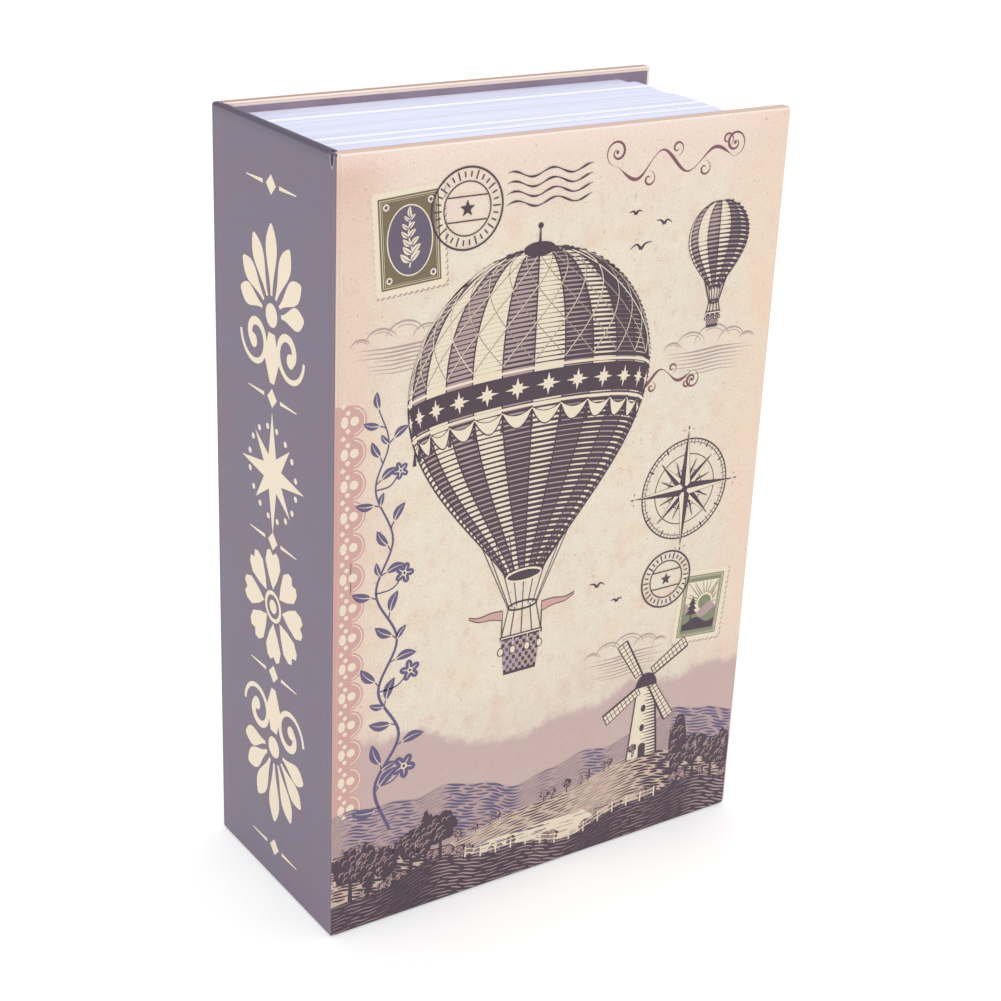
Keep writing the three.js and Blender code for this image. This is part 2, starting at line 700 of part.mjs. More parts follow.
// The locking bar lies under the dials and holds one finger beside each cam.
function lockingBarPiece() {
  const middle = -latch.travel / 2;
  const top = carriage.bottom + fit.seat;
  const rail = span(
    [middle - lockingBar.halfWidth, middle + lockingBar.halfWidth],
    [top, top + lockingBar.thickness],
    [latch.z - carriage.halfHeight, lockingBar.end],
  );
  const fingers = dialZs.map((z) => {
    const camZ = z + cam.rise - cam.length + cam.flangeWidth / 2;
    return span(
      [middle - barFinger.width / 2, middle + barFinger.width / 2],
      [barFinger.tip, top + lockingBar.thickness / 2],
      [camZ - barFinger.height / 2, camZ + barFinger.height / 2],
    );
  });
  return fuse(rail, ...fingers);
}

function thumbSlide() {
  const low = bezelFront - thumb.lift;
  const top = low - thumb.height;
  const height = [latch.z - thumb.halfHeight, latch.z + thumb.halfHeight];
  const button = roundedPlate([-thumb.spineSide, thumb.foreSide], [top, low], height, thumb.radius);
  const post = span(
    [-stem.spineSide, 0],
    [low - thumb.height / 2, stem.bottom],
    [latch.z - stem.halfHeight, latch.z + stem.halfHeight],
  );
  const middle = (thumb.foreSide - thumb.spineSide) / 2;
  const ridges = Array.from({ length: ridge.count }, (_, i) => {
    const x = middle + (i - (ridge.count - 1) / 2) * ridge.pitch;
    return span(
      [x - ridge.width / 2, x + ridge.width / 2],
      [top - ridge.height, low - thumb.height / 2],
      [height[0] + ridge.margin, height[1] - ridge.margin],
    );
  });
  return fuse(button, post, ...ridges);
}

// The reset lever: a neck through the slot of the case, with a head inside and a knob outside.
function resetLeverPiece() {
  const slack = (resetKnob.length - resetLever.neckLength) / 2;
  const wide = [resetLever.x - resetKnob.halfWidth, resetLever.x + resetKnob.halfWidth];
  const narrow = [resetLever.x - resetLever.neck, resetLever.x + resetLever.neck];
  const long = [resetLever.z - slack, resetLever.z + resetLever.neckLength + slack];
  const short = [resetLever.z, resetLever.z + resetLever.neckLength];
  const headBottom = lockCase.innerFloor - stem.play;
  const knobTop = caseFloor + stem.play;
  return fuse(
    span(wide, [headBottom - resetLever.headHeight, headBottom], long),
    span(narrow, [headBottom - resetLever.headHeight / 2, knobTop + resetKnob.height / 2], short),
    span(wide, [knobTop, knobTop + resetKnob.height], long),
  );
}

function lockAssembly() {
  const group = new THREE.Group();
  group.position.set(lockX, lidOuter - hingeY + lock.axleDepth, lock.z);
  group.add(pieceOf("lock_bezel", lockBezel(), finishes.lockPlastic));
  group.add(pieceOf("lock_case", lockCaseShell(), finishes.coatedSteel));
  group.add(pieceOf("dial_axle", dialAxle(), finishes.springSteel));
  group.add(pieceOf("detent_spring", detentSpring(), finishes.springSteel));
  group.add(pieceOf("latch_bolt", latchBolt(), finishes.springSteel));
  group.add(pieceOf("locking_bar", lockingBarPiece(), finishes.springSteel));
  group.add(pieceOf("thumb_slide", thumbSlide(), finishes.lockPlastic));
  group.add(pieceOf("reset_lever", resetLeverPiece(), finishes.lockPlastic));
  dialZs.forEach((z, i) => {
    const ring = pieceOf(`dial_${i + 1}`, dialRing(), finishes.dialPlastic);
    const hub = pieceOf(`dial_cam_${i + 1}`, dialCam(), finishes.springSteel);
    ring.position.z = z;
    hub.position.z = z;
    group.add(ring, hub);
  });
  lockScrewZs.forEach((z, i) => {
    [-lockScrewAt.x, lockScrewAt.x].forEach((x, j) => {
      const mesh = pieceOf(`lock_screw_${2 * i + j + 1}`, screw(lockScrew), finishes.zincScrew);
      mesh.position.set(x, caseTop + lockCase.wall + fit.seat, z);
      group.add(mesh);
    });
  });
  return group;
}

// The lid turns about this group's own Z axis.
function lidAssembly() {
  const group = new THREE.Group();
  group.position.set(hingeX, hingeY, midZ);
  group.add(pieceOf("lid_plate", lidPlate(), finishes.coatedSteel));
  hingeNames.forEach((name, i) => {
    const half = lidHingeHalf(name);
    half.position.z = hingeZs[i];
    group.add(half);
  });
  group.add(lockAssembly());
  return group;
}

function strongBox() {
  const group = new THREE.Group();
  group.add(pieceOf("steel_tray", steelTray(), finishes.coatedSteel));
  group.add(...trayScrews());
  hingeNames.forEach((name, i) => {
    const half = fixedHingeHalf(name);
    half.position.set(hingeX, hingeY, midZ + hingeZs[i]);
    group.add(half);
  });
  group.add(lidAssembly());
  return group;
}

const bookSafe = new THREE.Group();
bookSafe.add(cover(1, { board: "front_board", paper: "front_cover_paper", lining: "front_lining" }));
bookSafe.add(cover(-1, { board: "back_board", paper: "back_cover_paper", lining: "back_lining" }));
bookSafe.add(spine());
bookSafe.add(pieceOf("page_block", pageBlock(), finishes.pageMoulding));
bookSafe.add(strongBox());

export default bookSafe;
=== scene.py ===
"""The looks of the book safe: its printed case, page block, steel box and number lock."""
import json
import math
from contextlib import contextmanager

import bmesh
import bpy
import numpy as np
from mathutils import Matrix, Vector
from mathutils.geometry import tessellate_polygon


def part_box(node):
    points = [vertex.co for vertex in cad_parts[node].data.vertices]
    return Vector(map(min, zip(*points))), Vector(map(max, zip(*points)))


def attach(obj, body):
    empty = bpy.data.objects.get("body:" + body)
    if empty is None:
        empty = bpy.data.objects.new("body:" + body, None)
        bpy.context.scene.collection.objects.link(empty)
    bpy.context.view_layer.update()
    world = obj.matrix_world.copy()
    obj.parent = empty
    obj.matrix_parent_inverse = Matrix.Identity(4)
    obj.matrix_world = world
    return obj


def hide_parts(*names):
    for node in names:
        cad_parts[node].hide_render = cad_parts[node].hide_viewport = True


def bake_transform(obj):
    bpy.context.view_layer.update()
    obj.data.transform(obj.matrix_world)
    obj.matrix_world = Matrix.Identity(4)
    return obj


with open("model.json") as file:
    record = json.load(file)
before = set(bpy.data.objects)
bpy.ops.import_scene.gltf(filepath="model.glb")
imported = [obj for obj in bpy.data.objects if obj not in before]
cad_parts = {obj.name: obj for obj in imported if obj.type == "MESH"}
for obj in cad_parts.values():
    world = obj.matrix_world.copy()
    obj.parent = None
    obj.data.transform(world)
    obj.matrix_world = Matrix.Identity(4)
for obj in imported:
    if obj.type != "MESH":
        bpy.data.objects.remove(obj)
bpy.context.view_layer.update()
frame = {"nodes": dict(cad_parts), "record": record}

MM = 0.001


def box_of(node):
    """The lowest and highest corner of a node, in millimetres."""
    return [np.array(corner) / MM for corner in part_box(node)]


def shown(name, data):
    """A new object in the scene."""
    made = bpy.data.objects.new(name, data)
    bpy.context.scene.collection.objects.link(made)
    return made


FRONT_LOW, FRONT_HIGH = box_of("front_cover_paper")
SPINE_LOW, SPINE_HIGH = box_of("spine_paper")
BLOCK_LOW, BLOCK_HIGH = box_of("page_block")
HEIGHT = FRONT_HIGH[2]
LEFT = SPINE_LOW[0]
FRONT = FRONT_LOW[1]
BACK = box_of("back_cover_paper")[1][1]
COVER_THICK = FRONT_HIGH[1] - FRONT_LOW[1]

# Camera
CAMERA = {"azimuth": -34.715, "elevation": 22.778, "roll": 2.493, "distance": 465.026, "lens": 70.559}
CAMERA_TARGET = Vector((2.497, 0, 85.685))
SENSOR = 36


def make_camera():
    """The photograph's camera, from its angles in degrees and its distance from the target in millimetres."""
    azimuth, elevation, roll = (math.radians(CAMERA[k]) for k in ("azimuth", "elevation", "roll"))
    back = Vector((
        math.sin(azimuth) * math.cos(elevation),
        -math.cos(azimuth) * math.cos(elevation),
        math.sin(elevation),
    ))
    right = (-back).cross(Vector((0, 0, 1))).normalized()
    up = right.cross(-back)
    across = right * math.cos(roll) + up * math.sin(roll)
    upward = up * math.cos(roll) - right * math.sin(roll)
    matrix = Matrix((across, upward, back)).transposed().to_4x4()
    matrix.translation = (CAMERA_TARGET + back * CAMERA["distance"]) * MM
    data = bpy.data.cameras.new("camera")
    data.lens = CAMERA["lens"]
    data.sensor_width = SENSOR
    camera = shown("camera", data)
    camera.matrix_world = matrix
    bpy.context.scene.camera = camera


make_camera()
bpy.context.scene.view_settings.view_transform = "Standard"


# Materials
def tone(red, green, blue):
    """A colour as a screen shows it, from 0 to 255, as the linear colour of a socket."""
    shares = np.array((red, green, blue)) / 255
    linear = np.where(shares <= 0.04045, shares / 12.92, ((shares + 0.055) / 1.055) ** 2.4)
    return (*(float(v) for v in linear), 1.0)


class Wire:
    """A node's output, which takes part in sums as a number does."""

    def __init__(self, finish, socket):
        self.finish = finish
        self.socket = socket

    def __add__(self, other):
        return self.finish.maths("ADD", self, other)

    def __sub__(self, other):
        return self.finish.maths("SUBTRACT", self, other)

    def __rsub__(self, other):
        return self.finish.maths("SUBTRACT", other, self)

    def __mul__(self, other):
        return self.finish.maths("MULTIPLY", self, other)

    def __truediv__(self, other):
        return self.finish.maths("DIVIDE", self, other)

    __radd__ = __add__
    __rmul__ = __mul__


class Finish:
    """A material, and the nodes of its surface."""

    def __init__(self, name, target=None):
        self.material = target or bpy.data.materials.new(name)
        self.material.use_nodes = True
        self.tree = self.material.node_tree
        self.tree.nodes.clear()

    def node(self, kind, settings=None, inputs=None, output=0):
        """A node of a kind, with its settings, the values or links of its sockets, and one output."""
        made = self.tree.nodes.new(kind)
        for name, value in (settings or {}).items():
            setattr(made, name, value)
        for key, value in (inputs or {}).items():
            if isinstance(value, Wire):
                self.tree.links.new(value.socket, made.inputs[key])
            else:
                made.inputs[key].default_value = value
        return Wire(self, made.outputs[output]) if made.outputs else None

    def maths(self, operation, *values):
        """The result of a Math node."""
        return self.node("ShaderNodeMath", {"operation": operation}, dict(enumerate(values)))

    def place(self):
        """The place on the object."""
        return self.node("ShaderNodeTexCoord", output="Object")

    def axes(self):
        """The place along X, Y and Z, in millimetres."""
        outputs = self.node("ShaderNodeSeparateXYZ", inputs={0: self.place()}).socket.node.outputs
        return [Wire(self, output) * (1 / MM) for output in outputs]

    def noise(self, size, detail=2.0, roughness=0.5, stretch=(1, 1, 1), shift=(0, 0, 0)):
        """Cloudy noise from 0 to 1, with features of about a size in millimetres."""
        moved = self.node(
            "ShaderNodeMapping",
            inputs={"Vector": self.place(), "Location": shift, "Scale": stretch},
        )
        values = {"Vector": moved, "Scale": 1 / (size * MM), "Detail": detail, "Roughness": roughness}
        return self.node("ShaderNodeTexNoise", inputs=values)

    def above(self, value, low, high):
        """A smooth step from 0 at low to 1 at high."""
        values = {"Value": value, "From Min": low, "From Max": high}
        return self.node("ShaderNodeMapRange", {"interpolation_type": "SMOOTHSTEP"}, values)

    def below(self, value, low, high):
        """A smooth step from 1 at low to 0 at high."""
        return 1 - self.above(value, low, high)

    def between(self, value, rise, fall):
        """0, then 1 past the two numbers of the rise, and 0 again past those of the fall."""
        return self.above(value, *rise) * self.below(value, *fall)

    def mix(self, factor, first, second):
        """The first colour at 0, the second at 1."""
        settings = {"data_type": "RGBA", "blend_type": "MIX"}
        return self.node("ShaderNodeMix", settings, {0: factor, 6: first, 7: second}, output=2)

    def washed(self, colour, *washes):
        """A colour under washes, each the share that covers it and its own colour."""
        for share, wash in washes:
            colour = self.mix(share, colour, wash)
        return colour

    def bump(self, height, strength, distance):
        """Bumps of a depth in millimetres."""
        values = {"Strength": strength, "Distance": distance * MM, "Height": height}
        return self.node("ShaderNodeBump", inputs=values)

    def surface(self, colour, roughness, normal, metallic=0.0):
        """The finished material."""
        values = {"Base Color": colour, "Roughness": roughness, "Metallic": metallic, "Normal": normal}
        shader = self.node("ShaderNodeBsdfPrincipled", inputs=values)
        self.node("ShaderNodeOutputMaterial", inputs={"Surface": shader})
        return self.material

    def looked_at(self):
        """1 for what is seen straight, in gloss or through glass, and 0 for what lights the object."""
        rays = self.node("ShaderNodeLightPath").socket.node.outputs
        kinds = ("Is Camera Ray", "Is Glossy Ray", "Is Transmission Ray")
        straight, glossy, through = (Wire(self, rays[kind]) for kind in kinds)
        return straight + glossy + through


PARCHMENT = tone(238, 227, 208)
CREAM_PAPER = tone(242, 232, 210)
TAN_CLOUD = tone(236, 208, 184)
ROSE_STAIN = tone(232, 203, 188)
PALE_STAIN = tone(246, 234, 216)
BLUSH = tone(240, 214, 206)
PEACH = tone(236, 203, 184)
HEAD_PAPER = tone(247, 223, 209)
HEAD_CORNER = tone(222, 182, 164)
HEAD_BAND_HIGHLIGHT = tone(254, 232, 220)
ROSE_PAPER = tone(248, 219, 196)
FOOT_PAPER = tone(214, 186, 178)
FAR_RANGE = tone(203, 175, 173)
SPECK = tone(176, 140, 118)
PAPER_GRAIN = tone(182, 148, 130)
TURNED_PAPER = tone(255, 238, 224)
TURNED_END = tone(176, 136, 116)
TURN_CREASE_SHADE = tone(210, 176, 158)
EDGE_LIGHT = tone(252, 240, 232)
HEAD_TOP_PEACH = tone(208, 174, 156)
HEAD_INNER_LINE = tone(150, 118, 108)
PURPLE = tone(122, 104, 121)
BLUE_GREY = tone(114, 105, 124)
PURPLE_GRAIN = tone(152, 140, 156)
SPINE_HEAD_SHADE = tone(34, 31, 46)
SPINE_HEAD_HIGHLIGHT = tone(158, 166, 188)
FOOT_SHADOW = tone(70, 56, 66)
FOLD_GROOVE_SHADE = tone(206, 160, 136)
SEAM = tone(112, 84, 88)
CREASE_SHADE = tone(46, 30, 44)
CREASE_HIGHLIGHT = tone(206, 198, 214)


def printed_paper(finish, across, front):
    """The old-paper print of the covers with a painted highlight below the head, and the bumps of its paper.
    Across runs from -58 to 58.
    """
    height = finish.axes()[2]
    blotches = finish.noise(30, 5, 0.62)
    clouds = finish.noise(9, 6, 0.66, shift=(0.3, 0, 0.1))
    stains = finish.noise(3.2, 5, 0.66, shift=(0.1, 0.2, 0))
    grain = finish.noise(0.5, 3, 0.75)
    specks = finish.noise(0.9, 2, 0.5, shift=(0, 0.4, 0))
    near_left = finish.below(across + clouds * 12 - stains * 6, -52, -36)
    near_right = finish.above(across + clouds * 16, 46, 70)
    near_top = finish.above(height + clouds * 30 - stains * 10, 164, 190)
    near_corner = near_top * finish.below(across + clouds * 12, -49, -37)
    near_foot = finish.below(height - clouds * 30, 2, 44)
    colour = finish.washed(
        PARCHMENT,
        (finish.above(blotches + clouds * 0.7, 0.65, 1.05), CREAM_PAPER),
        (finish.above(clouds, 0.44, 0.7) * 0.6, TAN_CLOUD),
        (finish.above(stains, 0.5, 0.7) * 0.6, ROSE_STAIN),
        (finish.below(stains, 0.32, 0.46) * 0.6, PALE_STAIN),
        (finish.above(blotches - stains * 0.4, 0.42, 0.6) * 0.35, BLUSH),
        (near_top * 0.85, HEAD_PAPER),
        (finish.maths("MAXIMUM", near_left, near_corner) * 0.6, PEACH),
        (near_corner * 0.45, HEAD_CORNER),
        # painted highlight: a lighter band along the last few millimetres below the head
        (finish.above(height + clouds * 3, 176, 181) * 0.6, HEAD_BAND_HIGHLIGHT),
        (near_right * 0.8, ROSE_PAPER),
        (near_foot * 0.6, FOOT_PAPER),
    )
    if front:
        ridge = finish.noise(46, 3, 0.5, stretch=(1, 0, 0), shift=(0.9, 0, 0)) * 44 + 18
        hills = finish.below(height - ridge - stains * 5, -1.6, 1.8)
        haze = finish.above(height + clouds * 14, 10, 48)
        colour = finish.mix(hills * (0.4 + haze * 0.5), colour, FAR_RANGE)
    colour = finish.washed(
        colour,
        (finish.above(specks, 0.68, 0.74) * 0.4, SPECK),
        ((grain - 0.5) * 1.1 + 0.05, PAPER_GRAIN),
    )
    return colour, finish.bump(grain * 0.6 + clouds * 0.4, 0.14, 0.05)


def edge_lines(finish, colour, front):
    """Lines along a cover's edges: a painted highlight along the front's head, a painted shadow along its
    foot, darker peach over its head's top face with a darker line at the inner edge, and on the back the
    turned-in paper with painted shade in its crease. Ends counts out from the head and the foot.
    """
    _, deep, height = finish.axes()
    rim = finish.maths("ABSOLUTE", deep) - BACK
    ends = finish.maths("ABSOLUTE", height - HEIGHT / 2) - HEIGHT / 2
    if front:
        border = finish.above(ends, -0.72, -0.55)
        last = finish.above(ends, -0.3, -0.12)
        upper = finish.above(height, HEIGHT / 2, HEIGHT / 2 + 1)
        return finish.washed(
            colour,
            # painted highlight along the head of the front, and painted shadow along its foot
            (border * upper * 0.7, EDGE_LIGHT),
            (border * (1 - upper) * 0.9, FOOT_SHADOW),
            # darker peach over the top face of the head, and a darker line along its inner edge
            (last * upper * 0.9, HEAD_TOP_PEACH),
            (last * finish.below(rim, -2.2, -1.8) * 0.8, HEAD_INNER_LINE),
        )
    outer = finish.above(rim, -2.5, -2.2)
    return finish.washed(
        colour,
        ((1 - outer) * 0.9, TURNED_PAPER),
        (finish.above(ends, -0.8, -0.6) * outer, TURNED_END),
        # painted shade in the crease of the turned-in paper
        (finish.between(ends, (-0.62, -0.54), (-0.46, -0.38)) * (1 - outer) * 0.7, TURN_CREASE_SHADE),
    )


HEAD_TURN = (HEIGHT - 0.85, HEIGHT - 0.35)
PURPLE_END = (LEFT + 1.5, LEFT + 1.7)


def purple_paper(finish, head_shade_and_highlight):
    """The spine's paper, and its bumps. With its second argument set, painted shade darkens it towards the
    head and where it turns over the head, with a painted highlight on the inner part of that turn.
    """
    across, _, height = finish.axes()
    patches = finish.noise(9, 5, 0.62)
    grain = finish.noise(0.5, 2, 0.7)
    colour = finish.washed(
        BLUE_GREY,
        (finish.above(patches, 0.36, 0.66), PURPLE),
        ((grain - 0.45) * 0.3, PURPLE_GRAIN),
    )
    if head_shade_and_highlight:
        turned = finish.above(height, *HEAD_TURN)
        colour = finish.washed(
            # painted shade towards the head and over its turn, and a painted highlight on the turn's inner
            # part
            colour,
            (finish.above(height, HEIGHT - 3, HEIGHT - 0.6) * 0.2, SPINE_HEAD_SHADE),
            (turned * 0.36, SPINE_HEAD_SHADE),
            (turned * finish.above(across, LEFT + 1.2, LEFT + 1.5) * 0.4, SPINE_HEAD_HIGHLIGHT),
        )
    return colour, finish.bump(grain * 0.7 + patches * 0.3, 0.15, 0.05)


def cover_finish(name, front):
    """A cover's print. The back cover's begins with a strip of the spine's purple."""
    finish = Finish(name)
    across = finish.axes()[0]
    colour, bumps = printed_paper(finish, across, front)
    colour = edge_lines(finish, colour, front)
    if not front:
        purple, _ = purple_paper(finish, False)
        colour = finish.mix(finish.below(across, *PURPLE_END), colour, purple)
    return finish.surface(colour, finish.noise(9, 3) * 0.12 + 0.4, bumps)


def spine_finish():
    """The spine's purple, duller where its head is rubbed."""
    finish = Finish("spine_print")
    colour, bumps = purple_paper(finish, True)
    rubbed = finish.above(finish.axes()[2], *HEAD_TURN)
    return finish.surface(colour, finish.noise(9, 3) * 0.12 + 0.42 + rubbed * 0.4, bumps)


CREASE = {"y": -25.3, "z": 178.4, "half_width": 0.85, "half_height": 1.8, "narrowing": 0.28}


def fold_finish():
    """Purple on the spine's side of the fold and the cover's print on the other, with painted shade in its
    groove, a painted shadow along its foot, and a small crease painted as shade in its hollow with a
    highlight round its rim.
    """
    finish = Finish("fold_print")
    across, deep, height = finish.axes()
    beside = across - LEFT
    sunk = deep - FRONT
    purple, _ = purple_paper(finish, True)
    paper, bumps = printed_paper(finish, across, False)
    paper = finish.washed(
        paper,
        # painted shade in the groove of the fold, and painted shadow along its foot
        (finish.between(beside, (0.85, 1.0), (1.1, 1.25)) * 0.35, FOLD_GROOVE_SHADE),
        (finish.below(height, 0.55, 0.72), FOOT_SHADOW),
    )
    past_round = finish.above(beside, 0.35, 0.42) * finish.below(sunk, 0.6, 0.8)
    on_front = finish.maths("MAXIMUM", past_round, finish.below(sunk, 0.05, 0.09))
    seam = finish.below(sunk, 0.12, 0.2) * finish.below(beside, 0.16, 0.24)
    lift = height - CREASE["z"]
    wide = (deep - CREASE["y"]) * (1 / CREASE["half_width"]) / (lift * CREASE["narrowing"] + 1)
    tall = lift * (1 / CREASE["half_height"])
    reach = finish.maths("SQRT", wide * wide + tall * tall)
    rim = finish.between(reach, (0.7, 0.8), (0.9, 1.05)) * finish.below(lift, 0.7, 1.0)
    colour = finish.washed(
        purple,
        (on_front, paper),
        (seam * 0.5, SEAM),
        # the crease is painted: shade in its hollow and a highlight round its rim
        (finish.below(reach, 0.6, 0.74), CREASE_SHADE),
        (rim * 0.75, CREASE_HIGHLIGHT),
    )
    return finish.surface(colour, 0.45, bumps)


def lining_finish():
    """The purple lining paper, with the fibres of its sheet."""
    finish = Finish("lining_paper")
    patches = finish.noise(9, 4, 0.6)
    fibres = finish.noise(1.2, 3, 0.7, stretch=(1, 1, 0.35))
    colour = finish.mix(finish.above(patches, 0.35, 0.65), tone(139, 124, 140), tone(149, 133, 150))
    colour = finish.mix((fibres - 0.4) * 0.3, colour, tone(164, 150, 164))
    return finish.surface(colour, 0.62 + patches * 0.1, finish.bump(fibres, 0.2, 0.06))


def board_finish():
    """Raw grey board."""
    finish = Finish("grey_board")
    fibres = finish.noise(1.4, 4, 0.7)
    colour = finish.mix(fibres, tone(150, 144, 134), tone(178, 170, 158))
    return finish.surface(colour, 0.95, finish.bump(fibres, 0.4, 0.12))


PAGE_CRESTS = (14.0, -5.65, -9.95)
PAGE_PITCH = 0.62
PAGE_CREST_HIGHLIGHT = tone(251, 253, 255)
PAGE_LINE = tone(196, 202, 232)
PAGE_CREST_SHADOW = tone(180, 184, 212)
PAGE_BEHIND_SHADE = tone(196, 200, 226)


def page_finish():
    """White-lavender moulding with fine page lines, a painted highlight along each crest with painted shade
    about it, a painted shade line across the top and a painted highlight along its back edge.
    """
    finish = Finish("page_moulding")
    deep = finish.axes()[1]
    drift = finish.noise(22, 3, 0.5, stretch=(0.25, 1, 0.25))
    lines = finish.maths("SINE", deep * (math.tau / PAGE_PITCH) + drift * 5)
    streaks = finish.noise(1.6, 3, 0.6, stretch=(0.03, 1, 0.03))
    colour = finish.mix(finish.above(streaks, 0.3, 0.7), tone(218, 222, 250), tone(233, 235, 254))
    colour = finish.mix((lines * 0.5 + 0.5) * 0.14, colour, PAGE_LINE)
    for crest in PAGE_CRESTS:
        past = deep - crest
        # painted shade behind each crest, a painted shadow in front of it, and a painted highlight on the
        # crest
        colour = finish.washed(
            colour,
            (finish.between(past, (0.6, 0.8), (0.9, 1.7)) * 0.25, PAGE_BEHIND_SHADE),
            (finish.between(past, (-1.2, -0.6), (-0.36, -0.26)) * 0.6, PAGE_CREST_SHADOW),
            (finish.between(past, (-0.36, -0.24), (0.5, 0.75)), PAGE_CREST_HIGHLIGHT),
        )
    colour = finish.washed(
        colour,
        # painted shade along the soft step near the middle, and a painted highlight along the back edge
        (finish.between(deep, (4.7, 5.3), (5.7, 6.6)) * 0.4, tone(188, 192, 218)),
        (finish.above(deep, 23.2, 23.6), tone(250, 246, 255)),
    )
    return finish.surface(colour, 0.42 + streaks * 0.12, finish.bump(lines * 0.5 + streaks, 0.3, 0.08))


def coated_finish():
    """Powder-coated steel: fine orange peel, a little lighter on the raised spots of the peel."""
    finish = Finish("coated_steel")
    peel = finish.noise(0.55, 2, 0.5)
    cloud = finish.noise(20, 4, 0.6)
    colour = finish.mix(finish.above(cloud, 0.3, 0.75), tone(43, 44, 48), tone(56, 57, 62))
    colour = finish.mix(finish.above(peel, 0.62, 0.75) * 0.25, colour, tone(84, 85, 90))
    return finish.surface(colour, 0.48 + cloud * 0.12, finish.bump(peel, 0.5, 0.06), 0.1)


def metal_finish(name, light, dark, brush, roughness):
    """Plated steel with the fine lines of its rolling, and duller patches."""
    finish = Finish(name)
    lines = finish.noise(0.25, 2, 0.6, stretch=brush)
    cloud = finish.noise(6, 3, 0.6)
    colour = finish.mix(lines * 0.6 + cloud * 0.4, tone(*light), tone(*dark))
    rough = roughness + lines * 0.14 + cloud * 0.08
    return finish.surface(colour, rough, finish.bump(lines, 0.25, 0.02), 1.0)


def moulded_finish(name, light, dark, roughness, grain_size):
    """Plastic with the fine grain of its mould."""
    finish = Finish(name)
    grain = finish.noise(grain_size, 3, 0.6)
    cloud = finish.noise(12, 3, 0.5)
    colour = finish.mix(grain * 0.5 + cloud * 0.5, tone(*dark), tone(*light))
    return finish.surface(colour, roughness + cloud * 0.1, finish.bump(grain, 0.3, 0.03))


def ink_finish(name, ink, worn, specks_from):
    """Printing ink: uneven in tone, and broken by the grain of an old print."""
    finish = Finish(name)
    grain = finish.noise(0.42, 3, 0.7)
    cloud = finish.noise(8, 4, 0.6)
    colour = finish.mix(cloud * 0.35 + grain * 0.35, tone(*ink), tone(*worn))
    specks = finish.above(grain, specks_from, specks_from + 0.06) * 0.6
    colour = finish.mix(specks, colour, tone(222, 204, 188))
    return finish.surface(colour, 0.42 + cloud * 0.1, finish.bump(grain, 0.1, 0.04))


FRONT_PRINT = cover_finish("front_print", True)
BACK_PRINT = cover_finish("back_print", False)
SPINE_PRINT = spine_finish()
FOLD_PRINT = fold_finish()
SLOT_FINISHES = {
    "lining_paper": lining_finish(),
    "grey_board": board_finish(),
    "page_moulding": page_finish(),
    "coated_steel": coated_finish(),
    "hinge_steel": metal_finish("hinge_steel", (206, 206, 208), (168, 168, 172), (1, 1, 0.04), 0.24),
    "zinc_screw": metal_finish("zinc_screw", (214, 215, 220), (176, 178, 186), (1, 0.2, 1), 0.22),
    "lock_steel": metal_finish("lock_steel", (196, 198, 202), (150, 152, 158), (0.05, 1, 1), 0.3),
    "lock_plastic": moulded_finish("lock_plastic", (52, 52, 56), (34, 34, 38), 0.38, 0.3),
    "dial_plastic": moulded_finish("dial_plastic", (236, 232, 222), (222, 217, 206), 0.3, 0.5),
}
DIAL_INK = moulded_finish("dial_ink", (38, 38, 42), (22, 22, 26), 0.45, 0.3)
INKS = {
    "plum": ink_finish("plum_ink", (64, 48, 62), (88, 68, 80), 0.72),
    "violet": ink_finish("violet_ink", (92, 84, 122), (112, 100, 132), 0.74),
    "mauve": ink_finish("mauve_ink", (176, 150, 152), (196, 170, 164), 0.66),
    "rose": ink_finish("rose_ink", (206, 160, 154), (222, 180, 170), 0.7),
    "cream": ink_finish("cream_ink", (244, 230, 206), (236, 218, 192), 0.9),
    "pen": ink_finish("pen_ink", (120, 74, 84), (146, 100, 106), 0.74),
    "olive": ink_finish("olive_ink", (112, 98, 74), (134, 118, 92), 0.72),
    "sand": ink_finish("sand_ink", (216, 192, 174), (202, 174, 162), 0.8),
    "moss": ink_finish("moss_ink", (126, 132, 104), (150, 150, 122), 0.72),
}

# Mesh helpers
SMOOTH_BELOW = math.radians(32)
SAME_POINT = 0.001


@contextmanager
def opened(mesh):
    """A mesh as a bmesh, which goes back into the mesh at the end."""
    shell = bmesh.new()
    shell.from_mesh(mesh)
    yield shell
    shell.to_mesh(mesh)
    shell.free()


def mesh_object(name, points, faces, materials, choices=None, outward=True):
    """An object of points in millimetres. With outward, its faces are turned to point out."""
    mesh = bpy.data.meshes.new(name)
    mesh.from_pydata([tuple(np.array(p) * MM) for p in points], [], faces)
    for material in materials:
        mesh.materials.append(material)
    if choices is not None:
        mesh.polygons.foreach_set("material_index", choices)
    if outward:
        with opened(mesh) as shell:
            bmesh.ops.remove_doubles(shell, verts=shell.verts, dist=SAME_POINT * MM)
            bmesh.ops.recalc_face_normals(shell, faces=shell.faces)
            if shell.calc_volume(signed=True) < 0:
                bmesh.ops.reverse_faces(shell, faces=shell.faces)
    return shown(name, mesh)


def soften_shading(mesh):
    """Smooth shading, but for edges that turn sharply."""
    with opened(mesh) as shell:
        for face in shell.faces:
            face.smooth = True
        for edge in shell.edges:
            edge.smooth = len(edge.link_faces) == 2 and edge.calc_face_angle() < SMOOTH_BELOW


def plain_mesh(made):
    """An object's mesh as its modifiers leave it."""
    graph = bpy.context.evaluated_depsgraph_get()
    return bpy.data.meshes.new_from_object(made.evaluated_get(graph))


def applied(made):
    """The object with its modifiers worked into its mesh."""
    mesh = plain_mesh(made)
    made.modifiers.clear()
    made.data = mesh
    return made


def thickened(made, thickness):
    """A sheet that gets a thickness behind its face, in millimetres, and smooth shading."""
    sheet = made.modifiers.new("sheet", "SOLIDIFY")
    sheet.thickness = thickness * MM
    sheet.offset = -1
    applied(made)
    soften_shading(made.data)
    return made


def painted(mesh, material):
    """The mesh with this material alone."""
    mesh.materials.clear()
    mesh.materials.append(material)


